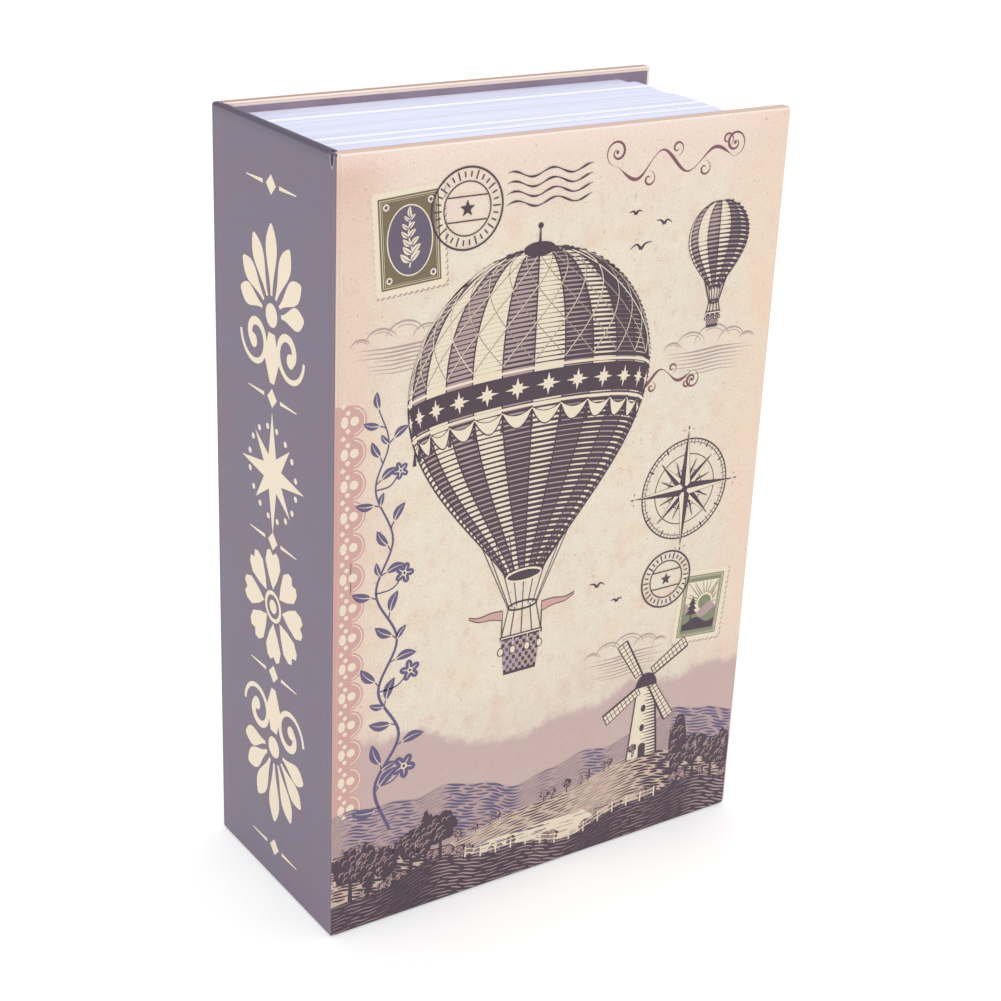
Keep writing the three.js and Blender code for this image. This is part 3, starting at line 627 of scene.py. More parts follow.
def dressed(made, body, slot, *replaced):
    """A finished piece: it moves with a body, and stands for nodes, which are hidden. Its slot is not used.
    """
    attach(made, body)
    if replaced:
        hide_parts(*replaced)
    return made


def polar(centre, radius, angle):
    """The point at a radius from a centre, at an angle in radians."""
    return centre[0] + radius * math.cos(angle), centre[1] + radius * math.sin(angle)


def rounded_ring(low, high, radii, steps=4):
    """Points round a rectangle with rounded corners, from its right foot, anticlockwise."""
    corners = (
        (high[0] - radii[0], low[1] + radii[0]),
        (high[0] - radii[1], high[1] - radii[1]),
        (low[0] + radii[2], high[1] - radii[2]),
        (low[0] + radii[3], low[1] + radii[3]),
    )
    return [
        polar(corner, radius, (i - 1 + k / steps) * math.pi / 2)
        for i, (corner, radius) in enumerate(zip(corners, radii))
        for k in range(steps + 1)
    ]


def quarter_round(radius):
    """Points of a quarter round, as distances from its two sides: from (radius, 0) to (0, radius)."""
    turns = np.linspace(0, math.pi / 2, 6)
    return [(radius * (1 - math.sin(t)), radius * (1 - math.cos(t))) for t in turns]


def woven(rings, closed):
    """Points and faces through lines of equally many points, closed to rings or open."""
    count = len(rings[0])
    points = [point for ring in rings for point in ring]
    faces = []
    for start in range(0, len(points) - count, count):
        for i in range(count if closed else count - 1):
            k = (i + 1) % count
            faces.append((start + i, start + k, start + count + k, start + count + i))
    return points, faces


def loft(rings, close_end=True):
    """Points and faces of a shell through rings, closed at its start."""
    points, faces = woven(rings, True)
    count = len(rings[0])
    faces.append(tuple(range(count))[::-1])
    if close_end:
        faces.append(tuple(range(len(points) - count, len(points))))
    return points, faces


# Studio
WHITE = (1, 1, 1, 1)
FLOOR_GREY = (0.8, 0.8, 0.8, 1)
FLOOR_GLOW = 0.34
FLOOR_HALF = 3000
FLOOR_DROP = 0.1
WORLD_LEVEL = 0.8
LAMPS = (
    {"place": (-500, -1200, 900), "watts": 4.2, "size": 900},
    {"place": (-1300, -100, 700), "watts": 3.0, "size": 900},
    {"place": (300, 300, 1500), "watts": 2.0, "size": 1000},
)


def make_floor():
    """A pale floor that is white to the eye and keeps the object's soft shadow."""
    finish = Finish("floor")
    cloth = finish.node("ShaderNodeBsdfDiffuse", inputs={"Color": FLOOR_GREY})
    strength = finish.looked_at() * FLOOR_GLOW
    glow = finish.node("ShaderNodeEmission", inputs={"Color": WHITE, "Strength": strength})
    both = finish.node("ShaderNodeAddShader", inputs={0: cloth, 1: glow})
    finish.node("ShaderNodeOutputMaterial", inputs={"Surface": both})
    side, level = FLOOR_HALF, -FLOOR_DROP
    corners = [(-side, -side, level), (side, -side, level), (side, side, level), (-side, side, level)]
    mesh_object("floor", corners, [(0, 1, 2, 3)], [finish.material], outward=False)


def make_world():
    """Plain light from all round, and white to the eye."""
    world = bpy.data.worlds.new("studio")
    bpy.context.scene.world = world
    finish = Finish("studio", world)
    level = finish.looked_at() * (1 - WORLD_LEVEL) + WORLD_LEVEL
    sky = finish.node("ShaderNodeBackground", inputs={"Color": WHITE, "Strength": level})
    finish.node("ShaderNodeOutputWorld", inputs={"Surface": sky})


def make_lamps():
    """Soft square lamps that look at the middle of the book."""
    aim = Vector((0, 0, HEIGHT / 2))
    for i, lamp in enumerate(LAMPS):
        data = bpy.data.lights.new(f"lamp_{i + 1}", "AREA")
        data.energy = lamp["watts"]
        data.size = lamp["size"] * MM
        made = shown(data.name, data)
        place = Vector(lamp["place"])
        made.location = place * MM
        made.rotation_euler = (aim - place).to_track_quat("-Z", "Y").to_euler()


make_floor()
make_world()
make_lamps()

# The case
WRAP_EDGE = 0.6
WRAP_CORNERS = (1.4, 0.65, 0.65, 0.65)
WRAP_LEAST_RADIUS = 0.1
WRAP_INNER_EDGE = 0.4
WRAP_FOLD_SHARE = 0.2
WRAP_HOLD = 0.12
WRAP_TURN_IN = 12.0
WRAP_SHEET = 0.28


def wrap_rings(low, high, place):
    """From the outer face, round the board's edges, to the end of the turned-in paper."""
    steps = [(WRAP_EDGE + WRAP_HOLD, 0)]
    steps += quarter_round(WRAP_EDGE)
    steps += [(inset, COVER_THICK - near) for near, inset in quarter_round(WRAP_INNER_EDGE)]
    steps += [(WRAP_INNER_EDGE + WRAP_HOLD, COVER_THICK), (WRAP_TURN_IN, COVER_THICK)]
    rings = []
    for inset, deep in steps:
        radii = [max(corner - inset, WRAP_LEAST_RADIUS) for corner in WRAP_CORNERS]
        foot = (low[0] + inset * WRAP_FOLD_SHARE, low[1] + inset)
        flat = rounded_ring(foot, np.array(high) - inset, radii)
        rings.append([place(a, b, deep) for a, b in flat])
    return rings


def make_covers():
    """The printed paper round the two boards."""
    low, high = (FRONT_LOW[0], 0), (FRONT_HIGH[0], HEIGHT)
    for name, body, material, place in (
        ("front", "front_cover", FRONT_PRINT, lambda a, b, deep: (a, FRONT + deep, b)),
        ("back", "book", BACK_PRINT, lambda a, b, deep: (a, BACK - deep, b)),
    ):
        points, faces = loft(wrap_rings(low, high, place), False)
        wrap = mesh_object(f"{name}_wrap", points, faces, [material])
        dressed(thickened(wrap, WRAP_SHEET), body, "cover_print", f"{name}_cover_paper")


SPINE_HALF = 23.7
SPINE_EDGE = 0.8
SPINE_INNER_EDGE = 1.1
SPINE_STATIONS = 25


def make_spine():
    """The spine's wrap: rounded over the head and foot, flat out to its board's edges."""
    depth = SPINE_HIGH[0] - SPINE_LOW[0]
    head = [(deep, HEIGHT - near) for near, deep in quarter_round(SPINE_EDGE)]
    head += [(depth - near, HEIGHT - down) for near, down in quarter_round(SPINE_INNER_EDGE)]
    foot = [(deep, HEIGHT - height) for deep, height in head[::-1]]
    hold = SPINE_EDGE + WRAP_HOLD
    section = foot + [(0, hold), (0, HEIGHT - hold)] + head
    rings = [
        [(LEFT + deep, y, height) for deep, height in section]
        for y in np.linspace(-SPINE_HALF, SPINE_HALF, SPINE_STATIONS)
    ]
    wrap = mesh_object("spine_wrap", *loft(rings), [SPINE_PRINT])
    soften_shading(wrap.data)
    dressed(wrap, "book", "spine_print", "spine_paper")


FOLD_RADIUS = 0.3
FOLD_SHEET = 0.25
FOLD_MIDDLE = 0.6
FOLD_SPINE_SIDE = [(0, BACK - SPINE_HALF), (0, 1.9), (0.072, 1.35), (0.03, 1.0), (0, 0.6)]
FOLD_FLAT = [
    (FOLD_RADIUS, 0), (0.6, 0), (0.85, 0.03), (0.95, 0.06), (1.05, 0.05), (1.2, -0.02), (1.4, -0.05),
    (1.8, -0.05),
]
FOLD_END_SHARES = (0.08, 0.18, 0.32, 0.5, 0.72, 1)
FOLD_END_MARGIN = 2
FOLD_ROWS = 45
FOLD_START = 0.7
FOLD_END = 0.9


def fold_section():
    """The outer skin at the front fold: from the spine, round its corner, to the front board's edge.
    Each point is across from the spine's face, and deep from the front's face."""
    return FOLD_SPINE_SIDE + quarter_round(FOLD_RADIUS)[:0:-1] + FOLD_FLAT


def end_pull(height):
    """How far the skin draws in near the head and the foot, where it turns over the edge."""
    near = min(height, HEIGHT - height)
    if near >= SPINE_EDGE:
        return 0.0
    return SPINE_EDGE - math.sqrt(SPINE_EDGE ** 2 - (SPINE_EDGE - near) ** 2)


def fold_heights():
    """The levels of the fold's rows, closer together at the head and the foot."""
    ends = [share * SPINE_EDGE for share in FOLD_END_SHARES]
    middle = np.linspace(FOLD_END_MARGIN, HEIGHT - FOLD_END_MARGIN, FOLD_ROWS).tolist()
    return ends + middle + [HEIGHT - near for near in ends[::-1]]


def make_fold(name, mirror_y, material):
    """The skin over one of the spine's long corners, turned outwards and thickened."""
    rows = []
    for height in fold_heights():
        pull = end_pull(height)
        row = []
        for across, deep in fold_section():
            inward = np.array([max(FOLD_MIDDLE - across, 0), max(FOLD_MIDDLE - deep, 0)])
            a, d = np.array([across, deep]) + inward / np.linalg.norm(inward) * pull
            row.append((LEFT + a, mirror_y * (FRONT + d), height))
        rows.append(row)
    fold = mesh_object(name, *woven(rows, False), [material], outward=False)
    with opened(fold.data) as shell:
        bmesh.ops.recalc_face_normals(shell, faces=shell.faces)
        shell.faces.ensure_lookup_table()
        if shell.faces[0].normal.x > 0:
            bmesh.ops.reverse_faces(shell, faces=shell.faces)
    return thickened(fold, FOLD_SHEET)


def fold_ends():
    """Where the fold leaves the spine and where it joins the front cover."""
    middle = HEIGHT / 2
    ends = ((LEFT, FRONT + FOLD_START, middle), (LEFT + FOLD_END, FRONT, middle))
    return [tuple(v * MM for v in end) for end in ends]


def make_folds():
    """The front fold, with its place worked into its mesh. The back one stays with the book."""
    front = make_fold("front_fold", 1, FOLD_PRINT)
    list(fold_ends())
    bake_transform(front)
    dressed(make_fold("back_fold", -1, SPINE_PRINT), "book", "spine_print")


LINING_LOW = (-56.0, 1.0)
LINING_HIGH = (57.0, 179.0)
LINING_RADIUS = 0.2
LINING_THICK = 0.32
LINING_EDGE = 0.05
LINING_SUNK = 0.02


def make_linings():
    """The papers pasted inside the two covers, over the turned-in edges."""
    flat = rounded_ring(LINING_LOW, LINING_HIGH, [LINING_RADIUS] * 4)
    middle = np.mean(flat, axis=0)
    board = BACK - COVER_THICK
    face = board - LINING_THICK
    for name, body, side in (("front_lining", "front_cover", -1), ("back_lining", "book", 1)):
        rings = []
        for inset, deep in ((LINING_EDGE, board + LINING_SUNK), (0, face + LINING_EDGE), (LINING_EDGE, face)):
            drawn = [np.array(p) - np.sign(np.array(p) - middle) * inset for p in flat]
            rings.append([(a, side * deep, b) for a, b in drawn])
        sheet = mesh_object(f"{name}_sheet", *loft(rings), [SLOT_FINISHES["lining_paper"]])
        soften_shading(sheet.data)
        dressed(sheet, body, "lining_paper", name)


make_covers()
make_spine()
make_folds()
make_linings()


# The page block, from the back to the front: where each ring lies and how far it is drawn in
PAGE_RINGS = (
    (24.02, 0.34), (23.95, 0.25), (23.7, 0.22), (20.3, 0.26), (19.8, 0.2), (19.5, 0.05), (19.3, 0.0),
    (14.7, 0.0), (14.5, -0.07), (14.0, -0.07), (13.85, 0.0), (13.8, 0.24), (13.7, 0.3),
    (7.2, 0.42), (6.4, 0.36), (5.2, 0.14), (4.8, 0.11), (-0.3, 0.11), (-0.7, 0.16),
    (-5.1, 0.05), (-5.25, -0.02), (-5.7, -0.02), (-5.8, 0.05), (-5.85, 0.26), (-5.95, 0.32),
    (-9.4, 0.2), (-9.55, 0.13), (-10.0, 0.13), (-10.1, 0.2), (-10.15, 0.42), (-10.25, 0.48),
    (-22.9, 0.42), (-23.3, 0.5), (-23.6, 0.7), (-23.7, 0.95),
)
PAGE_FORE_SHARE = 0.35
PAGE_REAR_Y = 19.6
PAGE_REAR_INSET = 1.3
PAGE_RADII = (4.0, 4.0, 0.8, 0.8)
PAGE_ARC = 8
WELL_WALL = 6.5
WELL_FLOOR = 22.02
WELL_RADIUS = 0.8
WELL_LIP = 0.5
WELL_LIP_STEP = 0.15
BOSS_PLACES = [(x, z) for x in (-30.3, 34.48) for z in (20.97, 159.03)]
BOSS = {"radius": 4.0, "hole": 1.4, "top": 19.02, "sides": 32, "edge": 0.3, "hole_edge": 0.2}


def page_ring(y, low, high, radii):
    """One ring of the block, at a depth."""
    return [(x, y, z) for x, z in rounded_ring(low, high, radii, PAGE_ARC)]


def boss_tube(middle):
    """A round boss with a blind hole, closed all round."""
    radius, hole, top = BOSS["radius"], BOSS["hole"], BOSS["top"]
    edge, hole_edge = BOSS["edge"], BOSS["hole_edge"]
    profile = [
        (radius, WELL_FLOOR + hole_edge), (radius, top + edge), (radius - edge, top), (hole + hole_edge, top),
        (hole, top + hole_edge), (hole, WELL_FLOOR),
    ]
    turns = np.linspace(0, math.tau, BOSS["sides"], endpoint=False)
    rings = []
    for r, y in profile:
        flat = [polar(middle, r, t) for t in turns]
        rings.append([(x, y, z) for x, z in flat])
    return rings


def make_pages():
    """The moulded block: its outer face, its well with a lip, and the bosses of the tray's screws."""
    low = BLOCK_LOW[[0, 2]]
    high = BLOCK_HIGH[[0, 2]]
    rings = []
    for y, inset in PAGE_RINGS:
        fore_inset = inset * PAGE_FORE_SHARE + (PAGE_REAR_INSET if y > PAGE_REAR_Y else 0)
        rings.append(page_ring(y, low + (0, inset), high - (fore_inset, inset), PAGE_RADII))
    front = PAGE_RINGS[-1][0]
    for y, grown in (
        (front, WELL_LIP), (front + WELL_LIP_STEP, WELL_LIP_STEP), (front + WELL_LIP, 0), (WELL_FLOOR, 0),
    ):
        wall = WELL_WALL - grown
        rings.append(page_ring(y, low + wall, high - wall, [WELL_RADIUS + grown] * 4))
    points, faces = loft(rings)
    for middle in BOSS_PLACES:
        tube_points, tube_faces = loft(boss_tube(middle))
        faces += [tuple(i + len(points) for i in face) for face in tube_faces]
        points += tube_points
    pages = mesh_object("page_edges", points, faces, [SLOT_FINISHES["page_moulding"]])
    soften_shading(pages.data)
    dressed(pages, "book", "page_moulding", "page_block")


make_pages()


# Softened copies of the steel box's and the lock's own solids: node, slot, body, and the radius of its edges
ROUNDED_NODES = [
    ("spine_board", "grey_board", "book", 0.95),
    ("steel_tray", "coated_steel", "book", 0.3),
    ("lid_plate", "coated_steel", "lid", 0.3),
    ("lock_case", "coated_steel", "lid", 0.3),
    ("lock_bezel", "lock_plastic", "lid", 0.3),
    ("thumb_slide", "lock_plastic", "latch", 0.2),
    ("latch_bolt", "lock_steel", "latch", 0.2),
    ("upper_hinge_fixed_leaf", "hinge_steel", "book", 0.12),
    ("upper_hinge_lid_leaf", "hinge_steel", "lid", 0.12),
    ("lower_hinge_fixed_leaf", "hinge_steel", "book", 0.12),
    ("lower_hinge_lid_leaf", "hinge_steel", "lid", 0.12),
    ("dial_1", "dial_plastic", "number_dial_1", 0.25),
    ("dial_2", "dial_plastic", "number_dial_2", 0.25),
    ("dial_3", "dial_plastic", "number_dial_3", 0.25),
]
NODE_SAME_POINT = 0.002
FLAT_BELOW = math.radians(2)
BEVEL_ABOVE = math.radians(35)
BEVEL_SEGMENTS = 3


def softened(node, slot, body, radius):
    """A copy of a node with its edges rounded."""
    mesh = frame["nodes"][node].data.copy()
    mesh.name = f"{node}_soft"
    with opened(mesh) as shell:
        bmesh.ops.remove_doubles(shell, verts=shell.verts, dist=NODE_SAME_POINT * MM)
        bmesh.ops.dissolve_limit(shell, angle_limit=FLAT_BELOW, verts=shell.verts, edges=shell.edges)
    painted(mesh, SLOT_FINISHES[slot])
    piece = shown(f"{node}_rounded", mesh)
    edge = piece.modifiers.new("edge", "BEVEL")
    edge.width = radius * MM
    edge.segments = BEVEL_SEGMENTS
    edge.limit_method = "ANGLE"
    edge.angle_limit = BEVEL_ABOVE
    applied(piece)
    soften_shading(piece.data)
    piece.modifiers.new("flat_faces", "WEIGHTED_NORMAL").keep_sharp = True
    dressed(applied(piece), body, slot, node)


def finish_nodes():
    """The nodes that stay as they are take the finish of their slot."""
    for part in frame["record"]["subparts"]:
        if part["material_slot"] in SLOT_FINISHES:
            painted(frame["nodes"][part["node"]].data, SLOT_FINISHES[part["material_slot"]])


NUMERAL_SIZE = 2.9 / 0.7
NUMERAL_RISE = 0.04
DIAL_RADIUS = 7.5


def numeral_outline(digit):
    """A numeral's flat mesh, with its middle at 0 and in millimetres."""
    text = bpy.data.curves.new("numeral", "FONT")
    text.body = str(digit)
    text.size = NUMERAL_SIZE
    text.resolution_u = 3
    written = shown("numeral", text)
    flat = plain_mesh(written)
    points = np.array([v.co[:2] for v in flat.vertices])
    faces = [tuple(p.vertices) for p in flat.polygons]
    bpy.data.objects.remove(written)
    bpy.data.meshes.remove(flat)
    return points - (points.min(0) + points.max(0)) / 2, faces


def make_numerals():
    """Ten numerals round each dial, 0 to the front, each bent to the dial's own face."""
    outlines = [numeral_outline(digit) for digit in range(10)]
    for number in (1, 2, 3):
        low, high = box_of(f"dial_{number}")
        axis = (low + high) / 2
        points, faces = [], []
        for digit, (flat, flat_faces) in enumerate(outlines):
            middle = -math.pi / 2 - digit * math.tau / 10
            faces += [tuple(i + len(points) for i in face) for face in flat_faces]
            points += [
                (*polar(axis, DIAL_RADIUS + NUMERAL_RISE, middle + across / DIAL_RADIUS), axis[2] + up)
                for across, up in flat
            ]
        made = mesh_object(f"dial_{number}_numerals", points, faces, [DIAL_INK], outward=False)
        dressed(made, f"number_dial_{number}", "dial_plastic")


for row in ROUNDED_NODES:
    softened(*row)
finish_nodes()
make_numerals()


# Printed pictures: flat shapes of ink laid out on a panel, in millimetres across and up
INK_STEP = 0.012
INK_TURNS = 16
SMALLEST_INK = 1e-5


def clipped(points, low, high):
    """A convex outline cut to a rectangle."""
    for axis in (0, 1):
        for limit, sign in ((low[axis], 1), (high[axis], -1)):
            kept = []
            for p, q in zip(points, points[1:] + points[:1]):
                from_p = sign * (p[axis] - limit)
                from_q = sign * (q[axis] - limit)
                if from_p >= 0:
                    kept.append(p)
                if (from_p > 0 > from_q) or (from_p < 0 < from_q):
                    t = from_p / (from_p - from_q)
                    kept.append((p[0] + (q[0] - p[0]) * t, p[1] + (q[1] - p[1]) * t))
            points = kept
            if len(points) < 3:
                return []
    return points


def turned(points, centre, angle, up=1):
    """Points turned by an angle in radians and set about a centre, and upside down with up at -1."""
    cosine, sine = math.cos(angle), math.sin(angle)
    return [(centre[0] + a * cosine - b * sine, centre[1] + up * (a * sine + b * cosine)) for a, b in points]


class Panel:
    """One face of the case, and the ink on it."""

    def __init__(self, name, body, slot, place, low, high):
        self.name, self.body, self.slot = name, body, slot
        self.patch = (place, low, high)
        self.shapes = []
        self.count = 0
        self.turn()

    def turn(self, centre=(0, 0), degrees=0):
        """What follows is drawn about a centre, turned."""
        self.centre, self.angle = centre, math.radians(degrees)

    def add(self, points, ink, layer):
        """One convex piece of a shape. The shapes of a layer lie at slightly different heights."""
        rise = (layer + self.count % INK_TURNS / INK_TURNS) * INK_STEP
        self.shapes.append((turned(points, self.centre, self.angle), ink, rise))

    def face(self, points, ink, layer):
        """A convex shape."""
        self.count += 1
        self.add(points, ink, layer)

    def shape(self, points, ink, layer):
        """Any simple outline."""
        self.count += 1
        flat = [Vector((p[0], p[1], 0)) for p in points]
        for corners in tessellate_polygon([flat]):
            self.add([points[i] for i in corners], ink, layer)

    def band(self, first, second, ink, layer):
        """The strip between two lines of equally many points."""
        self.count += 1
        for i in range(len(first) - 1):
            self.add([first[i], first[i + 1], second[i + 1], second[i]], ink, layer)

    def stroke(self, points, width, ink, layer, closed=False):
        """A line of a width, or of a width for each of its points."""
        line = np.array(points, float)
        if closed:
            line = np.vstack([line, line[:1]])
            before, after = line[-2:-1], line[1:2]
        else:
            before, after = line[:1], line[-1:]
        along = np.vstack([line[1:], after]) - np.vstack([before, line[:-1]])
        length = np.maximum(np.linalg.norm(along, axis=1), 1e-6)
        normal = np.stack([-along[:, 1], along[:, 0]], 1) / length[:, None]
        half = np.broadcast_to(np.array(width, float), (len(line),)) / 2
        self.band(line + normal * half[:, None], line - normal * half[:, None], ink, layer)

    def ring(self, centre, radius, width, ink, layer, sides):
        """A closed round line."""
        self.stroke(round_points(centre, radius, sides), width, ink, layer, closed=True)

    def disc(self, centre, radius, ink, layer, sides=10, squash=1.0):
        """A round spot."""
        self.face(round_points(centre, radius, sides, squash), ink, layer)

    def diamond(self, centre, half, ink, layer):
        """A small square on its corner."""
        u, v = centre
        self.face([(u - half, v), (u, v - half), (u + half, v), (u, v + half)], ink, layer)

    def printed(self, name, patches):
        """The ink in some patches as one mesh object. A patch is a place on the case and its two corners."""
        names = sorted({ink for _, ink, _ in self.shapes})
        points, faces, choices = [], [], []
        for place, low, high in patches:
            for shape, ink, rise in self.shapes:
                outline = clipped(shape, low, high)
                area = sum(p[0] * q[1] - q[0] * p[1] for p, q in zip(outline, outline[1:] + outline[:1]))
                if abs(area) < SMALLEST_INK:
                    continue
                if area < 0:
                    outline = outline[::-1]
                faces.append(tuple(range(len(points), len(points) + len(outline))))
                points += [place(u, v, rise) for u, v in outline]
                choices.append(names.index(ink))
        return mesh_object(name, points, faces, [INKS[n] for n in names], choices, outward=False)

    def print(self):
        """The ink as one piece that rides with the panel."""
        dressed(self.printed(self.name, [self.patch]), self.body, self.slot)


def arc(centre, radius, start, end, steps, squash=1.0):
    """Points of an arc, with its angles in degrees."""
    turns = np.radians(np.linspace(start, end, steps))
    return [(centre[0] + radius * math.cos(t), centre[1] + radius * squash * math.sin(t)) for t in turns]


def round_points(centre, radius, sides, squash=1.0):
    """Points all round a circle or an upright oval."""
    return arc(centre, radius, 0, 360, sides + 1, squash)[:-1]


def spoke(centre, angle, radii):
    """Points at several radii in one direction."""
    return [polar(centre, radius, angle) for radius in radii]


def directions(angle):
    """The unit vector at an angle, and the one a quarter turn on."""
    along = np.array((math.cos(angle), math.sin(angle)))
    return along, np.array((-along[1], along[0]))


def smooth_line(knots, steps):
    """A smooth line through its knots."""
    knots = np.array(knots, float)
    padded = np.vstack([2 * knots[0] - knots[1], knots, 2 * knots[-1] - knots[-2]])
    line = []
    for a, b, c, d in zip(padded, padded[1:], padded[2:], padded[3:]):
        square, cube = 2 * a - 5 * b + 4 * c - d, 3 * b - a - 3 * c + d
        for t in np.linspace(0, 1, steps, endpoint=False):
            line.append(0.5 * (2 * b + (c - a) * t + square * t ** 2 + cube * t ** 3))
    line.append(knots[-1])
    return np.array(line)


def pen_widths(count, thin, thick, swells):
    """Widths of a pen line that swells and thins again."""
    t = np.linspace(0, 1, count)
    ends = np.minimum(1, np.minimum(t, 1 - t) * 12)
    return (thin + (thick - thin) * np.sin(t * math.pi * swells) ** 2) * (0.25 + 0.75 * ends)


# The balloon
BALLOON = {"widest": 0.6, "mouth": 0.15, "tall": 2.4, "tilt": 0.15}
SUNLIGHT = Vector((-0.58, 0.5, 0.64)).normalized()


class Balloon:
    """An old gas balloon, drawn with the lines of an engraving."""

    def __init__(self, panel, centre, base, radius, gores):
        self.panel, self.centre, self.base, self.radius, self.gores = panel, centre, base, radius, gores
        self.height = radius * BALLOON["tall"]

    def radius_at(self, share):
        """The envelope's radius at a share of its height."""
        widest, mouth = BALLOON["widest"], BALLOON["mouth"]
        if share > widest:
            return self.radius * math.sqrt(max(0.0, 1 - ((share - widest) / (1 - widest)) ** 2))
        return self.radius * (mouth + (1 - mouth) * math.sin(math.pi / 2 * share / widest) ** 1.15)

    def at(self, share, angle):
        """A point of the skin, at a share of the height and an angle from its middle."""
        radius = self.radius_at(share)
        lift = radius * math.cos(angle) * BALLOON["tilt"] * (1 - share * 0.3)
        return self.centre + radius * math.sin(angle), self.base + self.height * share + lift

    def darkness(self, share, angle):
        """How far the skin turns away from the light."""
        step = 0.01
        slope = (self.radius_at(share + step) - self.radius_at(share - step)) / (2 * step * self.height)
        flat = 1 / math.hypot(1, slope)
        normal = Vector((math.sin(angle) * flat, -slope * flat, math.cos(angle) * flat))
        return 1 - max(0.0, normal.dot(SUNLIGHT))

    def gore_edges(self):
        """The angles of the seams, from one side to the other."""
        return np.linspace(-math.pi / 2, math.pi / 2, self.gores + 1)

    def level(self, share):
        """A line across the skin."""
        return [self.at(share, a) for a in np.linspace(-math.pi / 2, math.pi / 2, 60)]

    def rise(self, angle, low, high, steps):
        """A line up the skin."""
        return [self.at(s, angle) for s in np.linspace(low, high, steps)]

    def fill(self, low, high, steps=26):
        """The gores, in two inks by turns."""
        lines = [self.rise(edge, low, high, steps) for edge in self.gore_edges()]
        for g, (left, right) in enumerate(zip(lines, lines[1:])):
            self.panel.band(left, right, "mauve" if g % 2 else "cream", 4)

    def hatch(self, rows, low, high):
        """Engraved lines across the skin, thicker where it is dark and along the seams."""
        pitch = self.height * (high - low) / rows
        edges = self.gore_edges()
        for share in np.linspace(low, high, rows):
            for g in range(self.gores):
                extra = 0.2 if g % 2 else -0.16
                angles = np.linspace(edges[g], edges[g + 1], 4)
                widths = []
                for k, angle in enumerate(angles):
                    seam = 0.1 if k in (0, 3) else 0.0
                    dark = self.darkness(share, angle) * 0.95 + extra + seam
                    widths.append(pitch * min(max(dark, 0.03), 0.86))
                self.panel.stroke([self.at(share, a) for a in angles], widths, "plum", 5)

    def seams(self, width):
        """The seams between the gores."""
        for angle in self.gore_edges():
            self.panel.stroke(self.rise(angle, 0, 0.992, 40), width, "plum", 6)

    def belt(self, low, high):
        """A dark belt with a light star in each gore, and festoons below it."""
        edges = self.gore_edges()
        self.panel.band(self.level(low), self.level(high), "plum", 7)
        for share in (low - 0.012, high + 0.012):
            self.panel.stroke(self.level(share), self.height * 0.008, "cream", 7)
        for g in range(self.gores):
            middle = (edges[g] + edges[g + 1]) / 2
            half = (edges[1] - edges[0]) / 2
            centre_share = (low + high) / 2
            star = []
            for k in range(16):
                reach = (0.8, 0.3, 0.5, 0.3)[k % 4]
                turn = k * math.tau / 16
                star.append(self.at(centre_share + (high - low) * 0.5 * reach * math.sin(turn),
                                    middle + half * reach * math.cos(turn)))
            self.panel.shape(star, "cream", 8)
            swag, fold = [], []
            for t in np.linspace(-1, 1, 9):
                drop = (1 - t * t) * 0.05
                swag.append(self.at(low - 0.02 - drop * 0.35, middle + half * t))
                fold.append(self.at(low - 0.026 - drop, middle + half * t))
            self.panel.band(swag, fold, "cream", 7)
            self.panel.stroke(swag, 0.16, "plum", 8)
            self.panel.stroke(fold, 0.3, "plum", 8)
            tassel = self.at(low - 0.035, edges[g])
            self.panel.stroke([tassel, (tassel[0], tassel[1] - self.height * 0.045)], [0.3, 0.9], "plum", 8)

    def net(self, low, high, rows):
        """The cords over the crown, crossing in lozenges."""
        edges = self.gore_edges()
        half = edges[1] - edges[0]
        for sign in (1, -1):
            for k in range(-rows, self.gores + rows + 1):
                line = []
                for t in np.linspace(0, 1, 22):
                    angle = edges[0] + half * k + sign * half * rows * t
                    if abs(angle) <= math.pi / 2 + 1e-6:
                        line.append(self.at(low + (high - low) * t, angle))
                if len(line) > 1:
                    self.panel.stroke(line, 0.2, "cream", 7)
                    self.panel.stroke([(u + 0.12, v - 0.12) for u, v in line], 0.12, "plum", 7)

    def crown(self):
        """The valve at the top, with its knob."""
        top = self.at(0.985, 0)
        self.panel.disc(top, self.radius * 0.13, "plum", 8, 16, 0.4)
        self.panel.stroke([top, (top[0], top[1] + self.radius * 0.14)], [0.9, 0.3], "plum", 8)
        self.panel.disc((top[0], top[1] + self.radius * 0.16), self.radius * 0.022, "plum", 8)

    def mouth(self):
        """The open neck."""
        radius = self.radius_at(0)
        self.panel.disc((self.centre, self.base), radius, "plum", 6, 20, 0.3)
        self.panel.stroke(arc((self.centre, self.base), radius, 0, 360, 30, 0.3), 0.5, "cream", 7)

